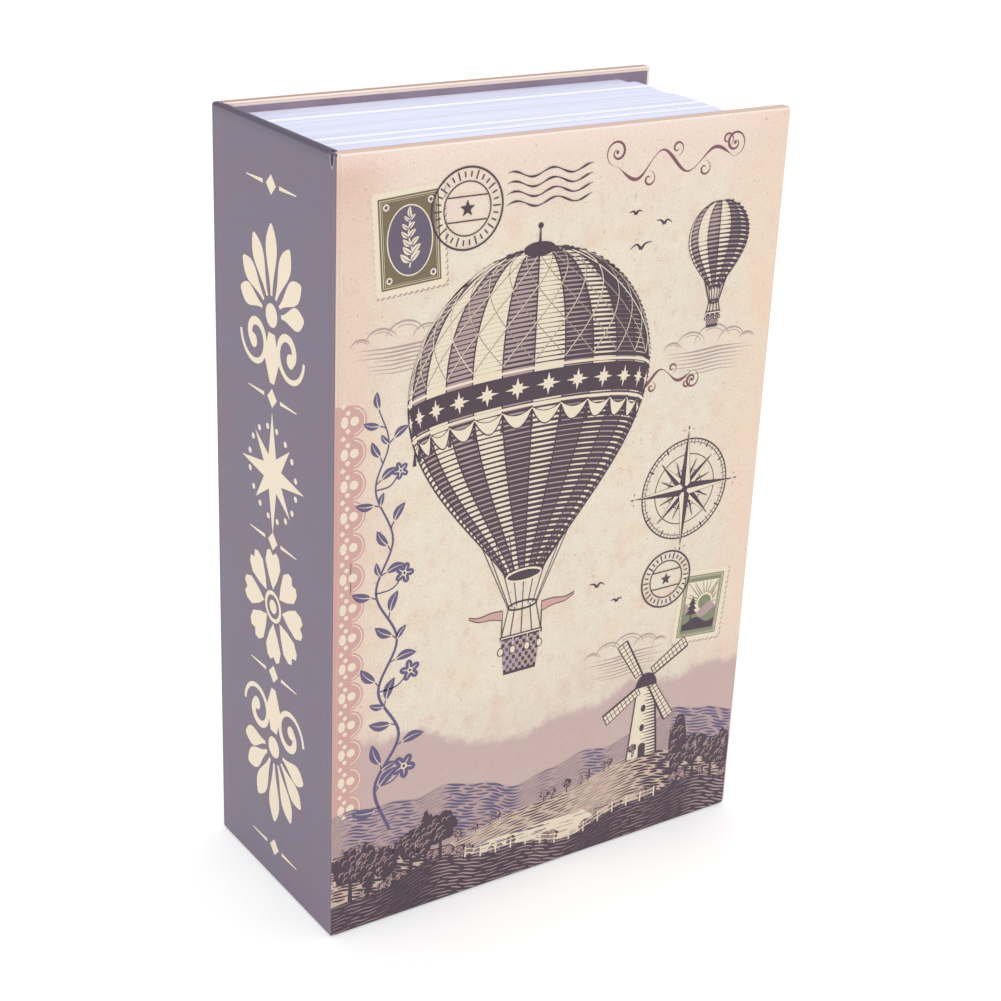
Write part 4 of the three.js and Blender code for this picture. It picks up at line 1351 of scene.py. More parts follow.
    def basket(self, drop, width, depth):
        """Ropes from the envelope to a load ring, then to a woven basket with a rail and ballast bags."""
        panel, centre = self.panel, self.centre
        ring_v = self.base - drop * 0.5
        rim = self.base - drop
        for angle in np.linspace(-math.pi / 2, math.pi / 2, 9):
            top = self.at(0.12, angle)
            low = (centre + width * 0.36 * math.sin(angle), ring_v)
            panel.stroke([top, low], 0.22, "plum", 6)
        panel.stroke(arc((centre, ring_v), width * 0.36, 0, 360, 24, 0.25), 0.45, "plum", 7)
        for share in (-1, -0.55, 0, 0.55, 1):
            panel.stroke([(centre + width * 0.34 * share, ring_v), (centre + width * 0.5 * share, rim)],
                         0.26, "plum", 7)
        foot = rim - depth
        body = [(centre - width * 0.5, rim), (centre - width * 0.4, foot), (centre + width * 0.4, foot),
                (centre + width * 0.5, rim)]
        panel.face(body, "mauve", 7)
        rows, columns = 8, 11
        for r in range(rows):
            v0 = foot + depth * r / rows
            v1 = foot + depth * (r + 0.84) / rows
            half = width * (0.4 + 0.1 * (r + 0.5) / rows)
            for c in range(columns):
                if (r + c) % 2:
                    continue
                u0 = centre - half + 2 * half * c / columns
                u1 = centre - half + 2 * half * (c + 0.9) / columns
                ink = "plum" if c > columns * 0.4 or r % 3 == 0 else "violet"
                panel.face([(u0, v0), (u1, v0), (u1, v1), (u0, v1)], ink, 8)
        panel.stroke([body[1], body[2]], 0.7, "plum", 8)
        panel.stroke([(centre - width * 0.53, rim), (centre + width * 0.53, rim)], 1.1, "plum", 8)
        panel.stroke([(centre - width * 0.5, rim + 0.1), (centre + width * 0.5, rim + 0.1)], 0.3, "cream", 9)
        for share in (-0.5, -0.2, 0.16, 0.47):
            u = centre + width * share
            panel.stroke([(u, rim), (u, rim - depth * 0.2)], 0.2, "cream", 9)
            panel.disc((u, rim - depth * 0.36), width * 0.07, "cream", 9, 10, 1.3)
            panel.stroke(arc((u, rim - depth * 0.36), width * 0.07, 0, 360, 14, 1.3), 0.22, "plum", 10)


def pennant(panel, foot, height, length, side):
    """A mast with a long forked flag."""
    top = (foot[0], foot[1] + height)
    panel.stroke([foot, top], 0.3, "plum", 9)
    upper, lower = [], []
    for t in np.linspace(0, 1, 12):
        wave = math.sin(t * 7) * 0.5 * t
        upper.append((top[0] + side * length * t, top[1] + wave))
        lower.append((top[0] + side * length * t, top[1] - height * 0.34 * (1 - t * 0.8) + wave))
    panel.band(upper, lower, "rose", 9)
    panel.stroke(upper, 0.22, "plum", 10)
    panel.stroke(lower, 0.22, "plum", 10)


def draw_balloons(panel):
    """The large balloon, and a small one far off."""
    main = Balloon(panel, 49, 80, 31.5, 12)
    main.fill(0.0, 0.995)
    main.hatch(66, 0.012, 0.985)
    main.seams(0.34)
    main.belt(0.5, 0.585)
    main.net(0.62, 0.97, 3)
    main.crown()
    main.mouth()
    main.basket(15, 11, 9)
    pennant(panel, (43.6, 65.2), 7, 9, -1)
    pennant(panel, (54.4, 65.2), 7, 9, 1)
    small = Balloon(panel, 98, 140, 8.6, 8)
    small.fill(0.0, 0.99, 14)
    small.hatch(20, 0.03, 0.97)
    small.seams(0.18)
    small.basket(5.5, 4, 3)


# Sky, compass and pen work
def draw_cloud(panel, centre, width, rng):
    """A bank of cloud: round tops drawn as arcs, and level lines that fade out below."""
    u, v = centre
    tops = [(-0.42, 0.16), (-0.22, 0.26), (0.02, 0.32), (0.24, 0.24), (0.42, 0.14)]
    for share, size in tops:
        radius = width * size * 0.62
        middle = (u + width * share, v + width * size * 0.18)
        line = arc(middle, radius, 12, 172, 18, 0.82)
        panel.stroke(line, pen_widths(len(line), 0.12, 0.42, 1), "mauve", 2)
        inner = arc(middle, radius * 0.78, 30, 120, 12, 0.82)
        panel.stroke(inner, 0.16, "mauve", 2)
    for k in range(7):
        half = width * (0.56 - 0.035 * k) * rng.uniform(0.8, 1.0)
        shift = width * rng.uniform(-0.06, 0.06)
        line = [(u + shift + half * t, v - 0.9 * k + 0.15 * math.sin(5 * t)) for t in np.linspace(-1, 1, 18)]
        panel.stroke(line, pen_widths(18, 0.08, 0.46 - 0.04 * k, 1), "mauve", 2)


def draw_bird(panel, centre, span, lean):
    """A gull on the wing, in two strokes."""
    for side in (-1, 1):
        tip = (side * span * 0.5, span * (0.14 + lean * side))
        wing = smooth_line([(0, 0), (side * span * 0.2, span * 0.2), tip], 5) + np.array(centre)
        panel.stroke(wing, np.linspace(0.75, 0.12, len(wing)), "plum", 3)


COMPASS_RINGS = ((1.0, 0.35), (0.93, 0.16), (0.7, 0.22), (0.4, 0.22), (0.16, 0.3))
# Of each set of the compass's points: how many, how long, how wide at the hips, and turned by how much
COMPASS_POINTS = (
    (8, 0.62, 0.1, math.pi / 8),
    (4, 0.84, 0.15, math.pi / 4),
    (4, 1.16, 0.17, 0),
)


def draw_compass(panel, centre, radius, ink, pale):
    """A compass rose: rings, a scale of degrees and sixteen points, each half dark and half light."""
    for share, width in COMPASS_RINGS:
        panel.ring(centre, radius * share, width, ink, 3, 60)
    for k in range(72):
        inner = 0.93 if k % 2 else 0.88
        tick = spoke(centre, k * math.tau / 72, (radius * inner, radius))
        panel.stroke(tick, 0.14 if k % 6 else 0.36, ink, 3)
    for order, (count, reach, half, shift) in enumerate(COMPASS_POINTS):
        for k in range(count):
            turn = math.pi / 2 + k * math.tau / count + shift
            tip = polar(centre, radius * reach, turn)
            for side, colour in ((1, ink), (-1, pale)):
                blade = [centre, tip, polar(centre, radius * half, turn + side * math.pi / 4)]
                panel.face(blade, colour, 4 + order)
                panel.stroke(blade, 0.14, ink, 4 + order)
    panel.disc(centre, radius * 0.07, ink, 7, 14)
    for k in range(4):
        turn = math.pi / 2 + k * math.pi / 2
        for side in (-0.09, 0, 0.09):
            tick = spoke(centre, turn + side, (radius * 1.2, radius * (1.27 - abs(side))))
            panel.stroke(tick, [0.5, 0.16], ink, 3)


def spiral(centre, radius, start, turns, steps=34, end=0.94):
    """A curl that winds in towards its centre."""
    return [
        polar(centre, radius * (1 - t) ** 0.8, math.radians(start) + turns * math.tau * t)
        for t in np.linspace(0, end, steps)
    ]


def draw_flourish(panel, centre, width, side, ink):
    """A pen flourish: a long wave that ends in curls, with shorter sprigs beside it."""
    u, v = centre
    knots = [(-0.5, 0.0), (-0.34, 0.09), (-0.16, -0.07), (0.04, 0.08), (0.24, -0.05), (0.4, 0.02)]
    wave = smooth_line([(u + width * a, v + side * width * b) for a, b in knots], 12)
    panel.stroke(wave, pen_widths(len(wave), 0.16, 0.8, 3), ink, 2)
    curl_radius = width * 0.085
    for sign, end in ((-1, wave[0]), (1, wave[-1])):
        middle = (end[0], end[1] - side * curl_radius)
        curl = spiral(middle, curl_radius, 90 * side, -sign * side * 1.6)
        panel.stroke(curl, pen_widths(len(curl), 0.14, 0.62, 1), ink, 2)
        panel.disc(middle, 0.42, ink, 2)
    for share, lift in ((-0.26, 1), (-0.06, -1), (0.14, 1), (0.3, -1)):
        at = wave[int((share + 0.5) / 0.9 * (len(wave) - 1))]
        middle = (at[0] + width * 0.03, at[1] + lift * side * width * 0.055)
        curl = spiral(middle, width * 0.05, -90 * lift * side, lift * side * 1.3)
        panel.stroke(curl, pen_widths(len(curl), 0.12, 0.5, 1), ink, 2)


def box_corners(half_width, half_height):
    """The corners of a rectangle about 0, anticlockwise."""
    return [(a * half_width, b * half_height) for a, b in ((-1, -1), (1, -1), (1, 1), (-1, 1))]


def toothed_rim(half_width, half_height, pitch):
    """The outline of a stamp, with round bites along its sides."""
    corners = box_corners(half_width, half_height)
    outline = []
    for p, q in zip(corners, corners[1:] + corners[:1]):
        p, q = np.array(p), np.array(q)
        length = np.linalg.norm(q - p)
        along = (q - p) / length
        inward = np.array((-along[1], along[0]))
        count = round(length / pitch)
        for k in range(count):
            middle = p + along * length * (k + 0.5) / count
            for turn in np.radians((180, 130, 90, 50, 0)):
                bite = along * math.cos(turn) + inward * math.sin(turn)
                outline.append(tuple(middle + pitch * 0.26 * bite))
    return outline


def stamp_frame(panel, centre, degrees, half_width, half_height, ink):
    """A stamp's paper with its shadow, its field of ink and two fine lines. What follows is drawn on it."""
    panel.turn(centre, degrees)
    rim = toothed_rim(half_width, half_height, 1.35)
    panel.shape([(a + 0.25, b - 0.3) for a, b in rim], "mauve", 3)
    panel.shape(rim, "cream", 4)
    corners = box_corners(half_width - 1.5, half_height - 1.5)
    panel.face(corners, ink, 5)
    for across, up, width in ((0.93, 0.95, 0.2), (0.87, 0.91, 0.1)):
        panel.stroke([(a * across, b * up) for a, b in corners], width, "cream", 6, closed=True)


def draw_sprig_stamp(panel, centre, degrees):
    """A stamp with a leafy sprig in an oval."""
    stamp_frame(panel, centre, degrees, 8.6, 11, "olive")
    oval = round_points((0, 0), 5.3, 36, 1.38)
    panel.face(oval, "violet", 7)
    panel.stroke(oval, 0.3, "cream", 8, closed=True)
    for k in range(44):
        level = -7 + 14 * (k + 0.5) / 44
        half = 5.1 * math.sqrt(max(0.0, 1 - (level / 7.3) ** 2))
        panel.stroke([(-half, level), (half, level)], 0.09, "olive", 8)
    stem = smooth_line([(-0.4, -5.6), (0.4, -2.4), (-0.3, 1.2), (0.3, 4.6)], 6)
    panel.stroke(stem, 0.35, "cream", 9)
    for i in range(2, len(stem) - 1, 3):
        for side in (-1, 1):
            leaf(panel, stem[i], math.pi / 2 + side * 0.85, 3.3 - 0.09 * i, "cream", 9, "violet")
    leaf(panel, stem[-1], math.pi / 2, 2.4, "cream", 9, "violet")
    for side in (-1, 1):
        for end in (-1, 1):
            panel.disc((side * 5.2, end * 7.6), 0.75, "cream", 7, 12)
            panel.disc((side * 5.2, end * 7.6), 0.4, "violet", 8, 10)
    panel.turn()


def draw_hill_stamp(panel, centre, degrees):
    """A stamp with a sun over hills and a tree."""
    stamp_frame(panel, centre, degrees, 7.6, 9.6, "moss")
    panel.face(box_corners(4.9, 6.4), "cream", 7)
    for k in range(15):
        ray = spoke((1.2, 0.6), math.pi * k / 14, (2.5, 9 if k % 2 else 6))
        kept = [(min(max(a, -4.7), 4.7), min(max(b, -6.2), 6.2)) for a, b in ray]
        panel.stroke(kept, [0.34, 0.12], "moss", 8)
    panel.disc((1.2, 0.6), 2.0, "moss", 8, 22)
    for base, size, ink in ((-0.6, 1.3, "mauve"), (-2.2, 1.1, "moss"), (-3.9, 0.8, "plum")):
        across = np.linspace(-4.9, 4.9, 16)
        ridge = [(a, base + size * math.sin(a * 0.8 + base)) for a in across]
        panel.band(ridge, [(a, -6.4) for a in across], ink, 9)
    panel.stroke([(-2.6, -4), (-2.6, 0.4)], 0.4, "plum", 10)
    for level, half in ((-2.2, 1.7), (-0.9, 1.4), (0.4, 1.0)):
        panel.face([(-2.6 - half, level), (-2.6 + half, level), (-2.6, level + 2.1)], "plum", 10)
    panel.turn()


def draw_postmark(panel, centre, radius):
    """Two rings with short ticks between them, and a star between two level bars."""
    for share, width in ((1.0, 0.42), (0.66, 0.28)):
        panel.ring(centre, radius * share, width, "plum", 11, 48)
    for k in range(30):
        inner, outer = (0.76, 0.9) if k % 3 else (0.72, 0.94)
        panel.stroke(spoke(centre, k * math.tau / 30, (radius * inner, radius * outer)), 0.3, "plum", 11)
    for level in (-0.3, 0.3):
        v = centre[1] + radius * level
        panel.stroke([(centre[0] - radius * 0.56, v), (centre[0] + radius * 0.56, v)], 0.28, "plum", 11)
    star = [
        polar(centre, radius * (0.09 if k % 2 else 0.22), math.pi / 2 + k * math.pi / 5)
        for k in range(10)
    ]
    panel.shape(star, "plum", 11)


def draw_waves(panel, foot, length, rows):
    """The level waves beside a postmark."""
    for row in range(rows):
        line = [
            (foot[0] + t, foot[1] + row * 2.1 + 0.75 * math.sin(t * 0.62 + row * 0.25))
            for t in np.linspace(0, length, 34)
        ]
        panel.stroke(line, pen_widths(34, 0.22, 0.46, 5), "plum", 11)


# Vine and lace along the spine's side of the cover
def leaf(panel, foot, angle, length, ink, layer, vein="cream"):
    """A pointed leaf with a vein of another ink."""
    along, over = directions(angle)
    left, right = [], []
    for t in np.linspace(0, 1, 7):
        middle = np.array(foot) + along * length * t + over * length * 0.08 * math.sin(math.pi * t)
        half = length * 0.24 * math.sin(math.pi * t) ** 0.75 * (1 - 0.25 * t)
        left.append(middle + over * half)
        right.append(middle - over * half)
    panel.band(left, right, ink, layer)
    vein_line = [(a + b) / 2 for a, b in zip(left, right)]
    panel.stroke(vein_line[:6], np.linspace(0.26, 0.06, 6), vein, layer + 1)


def blossom(panel, centre, radius, turn):
    """Five rounded petals round a dotted heart."""
    for k in range(5):
        along, over = directions(turn + k * math.tau / 5)
        reach, half = along * radius * 0.55, over * radius * 0.55 * 0.62
        petal = [
            np.array(centre) + reach + reach * 0.82 * math.cos(t) + half * math.sin(t)
            for t in np.linspace(0, math.tau, 11)[:-1]
        ]
        panel.face(petal, "violet", 4)
        panel.stroke([np.array(centre) + reach * s for s in (0.5, 1.3)], [0.3, 0.1], "cream", 5)
    panel.disc(centre, radius * 0.26, "cream", 5, 12)
    panel.disc(centre, radius * 0.13, "plum", 6, 8)


def draw_lace(panel, low, high, width):
    """A scalloped band of lace with round and drop-shaped holes."""
    count = 15
    pitch = (high - low) / count
    panel.face([(0, low), (width * 0.62, low), (width * 0.62, high), (0, high)], "rose", 1)
    for k in range(count):
        v = low + pitch * (k + 0.5)
        scallop = [(width * 0.6, v - pitch / 2)] + arc((width * 0.6, v), pitch * 0.5, -90, 90, 9)
        panel.shape(scallop, "rose", 1)
        panel.stroke(arc((width * 0.6, v), pitch * 0.42, -80, 80, 9), 0.24, "cream", 2)
        panel.disc((width * 0.68, v), pitch * 0.15, "cream", 2, 10)
        panel.disc((width * 0.34, v), pitch * 0.13, "cream", 2, 8, 1.5)
        for side in (-1, 1):
            panel.disc((width * 0.46, v + side * pitch * 0.28), pitch * 0.08, "cream", 2, 8)
        panel.disc((width * 0.3, v + pitch / 2), pitch * 0.1, "cream", 2, 4)


VINE_STEM = [
    (15, 24), (11, 36), (17, 48), (11.5, 60), (16, 72), (10.5, 84), (14.5, 96), (10, 108), (13, 118),
    (10.5, 126),
]
# Of each blossom: the stem's knot that it grows from, how far it stands off, and its size
VINE_BLOSSOMS = ((1, 7.5, 3.2), (3, 8, 2.7), (5, 7, 2.5), (7, 6, 2.1))


def draw_vine(panel):
    """A winding stem with leaves on both sides and a few blossoms."""
    stem = smooth_line(VINE_STEM, 9)
    panel.stroke(stem, np.linspace(0.85, 0.3, len(stem)), "violet", 3)
    for i in range(4, len(stem) - 2, 4):
        ahead = stem[i + 1] - stem[i - 1]
        angle = math.atan2(ahead[1], ahead[0])
        side = 1 if (i // 4) % 2 else -1
        length = 6.4 - 2.4 * i / len(stem)
        twig = polar(stem[i], 1.6, angle + side * 0.8)
        panel.stroke([stem[i], twig], 0.3, "violet", 3)
        leaf(panel, twig, angle + side * 0.95, length, "violet", 3)
        if (i // 4) % 3 == 0:
            leaf(panel, stem[i], angle - side * 0.7, length * 0.7, "violet", 3)
    for knot, shift, size in VINE_BLOSSOMS:
        foot = VINE_STEM[knot]
        u, v = foot[0] + shift, foot[1] + 3.5
        panel.stroke(smooth_line([foot, (u - shift * 0.4, v - 3), (u, v)], 6), 0.34, "violet", 3)
        blossom(panel, (u, v), size, knot)
    leaf(panel, stem[-1], 1.7, 4, "violet", 3)


# The landscape along the foot of the cover
COVER_ACROSS = 116.0


def crest(base, swells):
    """The height of a ridge across the cover, as a sum of swells (size, length, shift)."""
    return lambda u: base + sum(size * math.sin(u / length + shift) for size, length, shift in swells)


def fill_hill(panel, line, ink, layer):
    """Ink from a ridge down to the foot of the cover."""
    across = np.linspace(0, COVER_ACROSS, 70)
    panel.band([(u, line(u)) for u in across], [(u, 0) for u in across], ink, layer)


def hatch_hill(panel, line, rng, ink, layer, rows, pitch, weight):
    """Broken lines that follow the slope, heavier where it falls away to the right."""
    for row in range(rows):
        below = pitch * (row + 0.5)
        u = rng.uniform(-3, 1)
        while u < COVER_ACROSS:
            length = rng.uniform(2.4, 8.5)
            across = np.linspace(u, u + length, 3 + int(length / 1.4))
            points, widths = [], []
            for k, a in enumerate(across):
                slope = line(a + 1.2) - line(a - 1.2)
                shade = min(max(0.5 - slope * 0.55, 0.12), 1.0)
                taper = math.sin(math.pi * (k + 0.35) / (len(across) - 0.3)) ** 0.6
                points.append((a, line(a) - below + 0.12 * math.sin(a * 1.3 + row)))
                widths.append(pitch * weight * shade * taper)
            panel.stroke(points, widths, ink, layer)
            u += length + rng.uniform(0.3, 1.8)


def draw_tree(panel, foot, height, rng, slim=False):
    """A trunk under a crown with a lobed outline, with lighter leaves on its left."""
    u, v = foot
    half, tall = height * (0.14 if slim else 0.33), height * (0.42 if slim else 0.31)
    centre = (u, v + height * (0.57 if slim else 0.67))
    lobes = 4 + int(rng.integers(3))
    shift = rng.uniform(0, math.tau)
    crown = []
    for t in np.arange(44) * math.tau / 44:
        swell = 0.84 + 0.2 * abs(math.sin(lobes * t / 2 + shift)) + rng.uniform(-0.07, 0.07)
        crown.append((centre[0] + half * swell * math.cos(t), centre[1] + tall * swell * math.sin(t)))
    panel.stroke([(u, v), centre], [height * 0.08, height * 0.03], "plum", 9)
    panel.shape(crown, "plum", 9)
    size = height * (0.045 if slim else 0.06)
    for row in np.arange(-0.75, 0.85, 0.3):
        for column in np.arange(-0.75, 0.6, 0.3):
            a, b = column + rng.uniform(-0.1, 0.1), row + rng.uniform(-0.1, 0.1)
            if a * a + b * b > 0.7 or rng.uniform() < 0.25 + 0.5 * max(a, 0):
                continue
            tuft = arc((centre[0] + half * a, centre[1] + tall * b), size, 60, 200, 5)
            ink = "mauve" if rng.uniform() < 0.7 else "rose"
            panel.stroke(tuft, [0.06, 0.18, 0.26, 0.18, 0.06], ink, 10)


def draw_sail(panel, hub, angle, height):
    """One lattice sail of the windmill."""
    along, over = directions(angle)
    near, far, wide = height * 0.1, height * 0.52, height * 0.11
    inner, outer = hub + along * near, hub + along * far
    sail = [inner, outer, outer + over * wide, inner + over * wide * 0.7]
    panel.stroke([hub, outer], 0.5, "plum", 10)
    panel.face(sail, "cream", 9)
    for edge in (sail[1:3], sail[2:4], [sail[3], sail[0]]):
        panel.stroke(edge, 0.24, "plum", 10)
    for t in np.linspace(0.08, 0.92, 9):
        rung = [sail[0] + (sail[1] - sail[0]) * t, sail[3] + (sail[2] - sail[3]) * t]
        panel.stroke(rung, 0.2, "plum", 10)
    panel.stroke([(sail[0] + sail[3]) / 2, (sail[1] + sail[2]) / 2], 0.18, "plum", 10)


def draw_windmill(panel, foot, height):
    """A tapered tower with a cap, a door, windows and four sails."""
    u, v = foot
    low, top, eaves = height * 0.17, height * 0.1, height * 0.72
    left = [(u - low, v), (u - top, v + eaves)]
    right = [(u + low, v), (u + top, v + eaves)]
    panel.band(left, right, "cream", 6)
    for k in range(22):
        share = (k + 0.5) / 22
        half = low + (top - low) * share
        level = v + eaves * share
        start = u - half * (0.15 if k % 2 else -0.1)
        panel.stroke([(start, level), (u + half, level - 0.1)], [0.12, 0.5], "plum", 7)
    panel.stroke(left, 0.35, "plum", 8)
    panel.stroke(right, 0.6, "plum", 8)
    panel.shape([(u - top * 1.25, v + eaves)] + arc((u, v + eaves), top * 1.2, 180, 0, 12, 1.15), "plum", 8)
    panel.shape([(u - 1.1, v)] + arc((u, v + height * 0.1), 1.1, 180, 0, 8) + [(u + 1.1, v)], "plum", 8)
    for share in (0.3, 0.5):
        panel.disc((u - 0.4, v + height * share), height * 0.028, "plum", 8, 8, 1.4)
    hub = np.array((u - 0.3, v + height * 0.78))
    for k in range(4):
        draw_sail(panel, hub, math.radians(28 + 90 * k), height)
    panel.disc(hub, 0.8, "plum", 11, 12)


def draw_pond(panel, rng):
    """Still water with the broken lines of its ripples."""
    low, high = 6.0, 12.2
    panel.face([(26, low), (78, low), (70, high), (36, high)], "cream", 6)
    for _ in range(90):
        u, v = rng.uniform(26, 78), rng.uniform(low, high)
        ripple = [(u - rng.uniform(0.8, 3), v), (u + rng.uniform(0.8, 3), v)]
        width = rng.uniform(0.1, 0.34)
        panel.stroke(ripple, width, "mauve" if rng.uniform() < 0.6 else "violet", 7)


def draw_fence(panel, line):
    """Two rails and their posts, along a ridge."""
    rail = [(u, line(u) + 1.6) for u in np.linspace(36, 92, 40)]
    for drop in (0, 1.1):
        panel.stroke([(u, v - drop) for u, v in rail], 0.26, "cream", 10)
    for u, v in rail[::3]:
        panel.stroke([(u, v + 0.5), (u, v - 2.4)], 0.42, "cream", 10)


def draw_landscape(panel):
    """Three ridges, one before the other, with trees, a windmill, a pond and a fence."""
    rng = np.random.default_rng(7)
    far = crest(29, ((2.6, 13, 0.4), (1.2, 5, 1), (0.5, 2.1, 0)))
    middle = crest(19, ((3.2, 16, 2.6), (1.0, 6.2, 0.3)))
    near = crest(9, ((2.4, 11, 5.2), (0.9, 4.1, 1.2)))
    fill_hill(panel, far, "mauve", 2)
    hatch_hill(panel, far, rng, "violet", 3, 17, 0.85, 0.75)
    fill_hill(panel, middle, "sand", 4)
    hatch_hill(panel, middle, rng, "plum", 5, 15, 0.8, 1.15)
    for u in np.sort(rng.uniform(2, 114, 26)):
        draw_tree(panel, (u, middle(u) - 0.6), rng.uniform(2.2, 4.2), rng, rng.uniform() < 0.5)
    draw_windmill(panel, (87, middle(87) - 1), 27)
    draw_pond(panel, rng)
    fill_hill(panel, near, "plum", 8)
    hatch_hill(panel, near, rng, "mauve", 9, 13, 0.95, 0.42)
    for u in (5, 14, 21, 29, 104, 110):
        draw_tree(panel, (u, near(u) - 1), rng.uniform(10, 17), rng)
    for u in (9.5, 25, 98.5, 113.5):
        draw_tree(panel, (u, near(u) - 1), rng.uniform(14, 21), rng, True)
    for u in rng.uniform(1, 115, 46):
        draw_tree(panel, (u, near(u) - 1.4), rng.uniform(2.4, 4.6), rng)
    draw_fence(panel, near)


FRONT_PICTURE_LOW = (1.8, 0.6)
FRONT_PICTURE_HIGH = (115.3, HEIGHT - 0.85)
FOLD_ROUND_STRIPS = 2
FRONT_CLOUDS = (((98, 126), 26), ((16, 139), 24), ((80, 52), 24))
# Of each gull: where it flies, its span, and how far it leans
FRONT_BIRDS = (
    ((76, 152), 6, 0.1), ((82, 157), 4.4, -0.1), ((74, 160), 3.6, 0), ((70, 72), 4.6, -0.1),
    ((76, 67), 3.4, 0),
)


def slope_between(near, far):
    """How a picture lies on the fold from one point of its section to the next."""
    (start, first), (end, second) = near, far

    def place(u, v, rise):
        """The place of a point, at its share of the way between the two."""
        return LEFT + u, FRONT + first + (second - first) * (u - start) / (end - start) - rise, v

    return place


def print_fold(panel):
    """The part of the front picture that lies on the fold, in strips that follow its round and its dip."""
    path = fold_section()[-len(FOLD_FLAT) - FOLD_ROUND_STRIPS:]
    strips = [
        (slope_between(near, far), (near[0], FRONT_PICTURE_LOW[1]), (far[0], FRONT_PICTURE_HIGH[1]))
        for near, far in zip(path, path[1:])
    ]
    made = panel.printed("fold_picture", strips)
    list(fold_ends())
    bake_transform(made)


def print_front():
    """The cover's picture: balloons over a landscape, with stamps, postmarks and pen work round them."""
    rng = np.random.default_rng(3)
    panel = Panel(
        "front_picture", "front_cover", "cover_print", lambda u, v, rise: (LEFT + u, FRONT - rise, v),
        FRONT_PICTURE_LOW, FRONT_PICTURE_HIGH,
    )
    draw_lace(panel, 22, 128, 7)
    draw_vine(panel)
    for centre, width in FRONT_CLOUDS:
        draw_cloud(panel, centre, width, rng)
    draw_compass(panel, (94, 92), 12.5, "plum", "cream")
    for centre, span, lean in FRONT_BIRDS:
        draw_bird(panel, centre, span, lean)
    draw_sprig_stamp(panel, (17, 161), 4)
    draw_hill_stamp(panel, (102, 60), -5)
    draw_postmark(panel, (30.5, 166), 8.6)
    draw_waves(panel, (40, 165.5), 22, 4)
    draw_postmark(panel, (90.5, 69.5), 7.2)
    draw_flourish(panel, (86, 171), 36, -1, "pen")
    draw_flourish(panel, (83, 121), 26, 1, "pen")
    draw_balloons(panel)
    draw_landscape(panel)
    panel.print()
    print_fold(panel)


# The spine's ornaments
PICTURE_MARGIN = 1.0
SPINE_PICTURE_END = 53.0
SPINE_MIDDLE = 27
SPINE_DIAMONDS = (168, 121.5, 88, 55, 9)
HEART_HALF = [(0.3, 0.0), (0.5, 0.14), (0.74, 0.25), (0.92, 0.2), (0.98, 0.1), (0.9, 0.0)]


def draw_palmette(panel, centre, size, up):
    """A fan of seven lobes over two curls, upside down with up at -1."""
    u, v = centre
    foot = size * 0.13
    for k in range(-3, 4):
        length = size * (0.6 - 0.055 * abs(k))
        petal = [
            (foot + (length - foot) * t, size * (0.012 + 0.064 * math.sin(math.pi * t ** 1.7)))
            for t in np.linspace(0, 1, 11)
        ]
        outline = petal + [(a, -b) for a, b in petal[::-1]]
        panel.shape(turned(outline, centre, math.pi / 2 + k * 0.46, up), "cream", 1)
    for side in (-1, 1):
        middle = (u + side * size * 0.23, v - up * size * 0.2)
        curl = spiral(middle, size * 0.2, 90 - 90 * side, -side * up * 1.35, end=0.86)
        panel.stroke(curl, np.linspace(size * 0.03, size * 0.07, len(curl)), "cream", 1)
        panel.disc(curl[-1], size * 0.05, "cream", 2, 14)
    panel.disc((u, v), size * 0.08, "cream", 2, 20)
    stalk = [(size * a, size * b * up) for a, b in ((0.045, -0.12), (0.1, -0.3), (0.03, -0.46))]
    panel.shape([(u + a, v + b) for a, b in stalk] + [(u - a, v + b) for a, b in stalk[::-1]], "cream", 1)


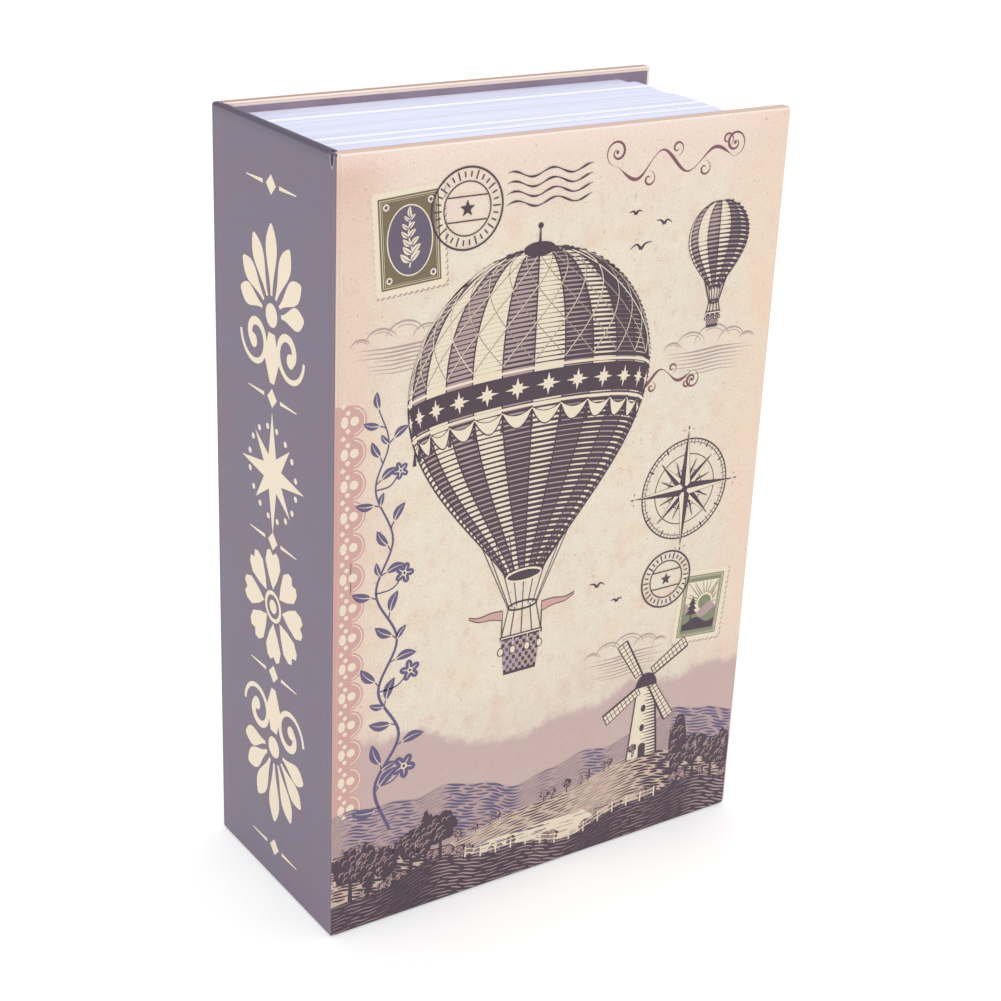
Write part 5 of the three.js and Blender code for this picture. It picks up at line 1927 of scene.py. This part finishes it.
def draw_star(panel, centre, radius):
    """An eight-pointed star in a ring of beads."""
    for order, (reach, shift) in enumerate(((0.78, math.pi / 4), (1.0, 0))):
        for k in range(4):
            turn = k * math.pi / 2 + shift
            point = [
                polar(centre, radius * share, turn + bend)
                for share, bend in ((reach, 0), (0.2, math.pi / 4), (0, 0), (0.2, -math.pi / 4))
            ]
            panel.face(point, "cream", 1 + order)
    for k in range(16):
        panel.disc(polar(centre, radius * 0.74, (k + 0.5) * math.tau / 16), radius * 0.05, "cream", 1, 10)


def draw_rosette(panel, centre, radius):
    """Eight heart-shaped petals round a ringed button."""
    half = [(radius * a, radius * b) for a, b in HEART_HALF]
    petal = half + [(a, -b) for a, b in half[-2:0:-1]]
    for k in range(8):
        panel.shape(turned(petal, centre, k * math.tau / 8), "cream", 1)
    panel.ring(centre, radius * 0.24, radius * 0.07, "cream", 2, 32)
    panel.disc(centre, radius * 0.12, "cream", 2, 16)


def print_spine():
    """Light ornaments down the spine, with a diamond between each two."""
    panel = Panel(
        "spine_ornaments", "book", "spine_print", lambda u, v, rise: (LEFT - rise, BACK - u, v),
        (PICTURE_MARGIN, PICTURE_MARGIN), (SPINE_PICTURE_END, HEIGHT - PICTURE_MARGIN),
    )
    middle = SPINE_MIDDLE
    draw_palmette(panel, (middle, 140), 33, 1)
    draw_star(panel, (middle, 104), 14.5)
    draw_rosette(panel, (middle, 72), 14)
    draw_palmette(panel, (middle, 36), 33, -1)
    for v in SPINE_DIAMONDS:
        panel.diamond((middle, v), 2.2, "cream", 1)
        for side in (-1, 1):
            panel.stroke([(middle + side * 3.6, v), (middle + side * 11, v)], [0.9, 0.25], "cream", 1)
    panel.print()


BACK_PICTURE_END = 112.0
BACK_CLOUDS = (((30, 160), 28), ((86, 30), 34), ((26, 26), 22))


def print_back():
    """A faint compass between flourishes and clouds, on the back cover."""
    rng = np.random.default_rng(5)
    panel = Panel(
        "back_picture", "book", "cover_print", lambda u, v, rise: (FRONT_HIGH[0] - u, BACK + rise, v),
        (PICTURE_MARGIN, PICTURE_MARGIN), (BACK_PICTURE_END, HEIGHT - PICTURE_MARGIN),
    )
    draw_compass(panel, (57, 100), 26, "mauve", "cream")
    draw_flourish(panel, (57, 56), 60, 1, "mauve")
    draw_flourish(panel, (57, 146), 60, -1, "mauve")
    for centre, width in BACK_CLOUDS:
        draw_cloud(panel, centre, width, rng)
    panel.print()


print_front()
print_spine()
print_back()
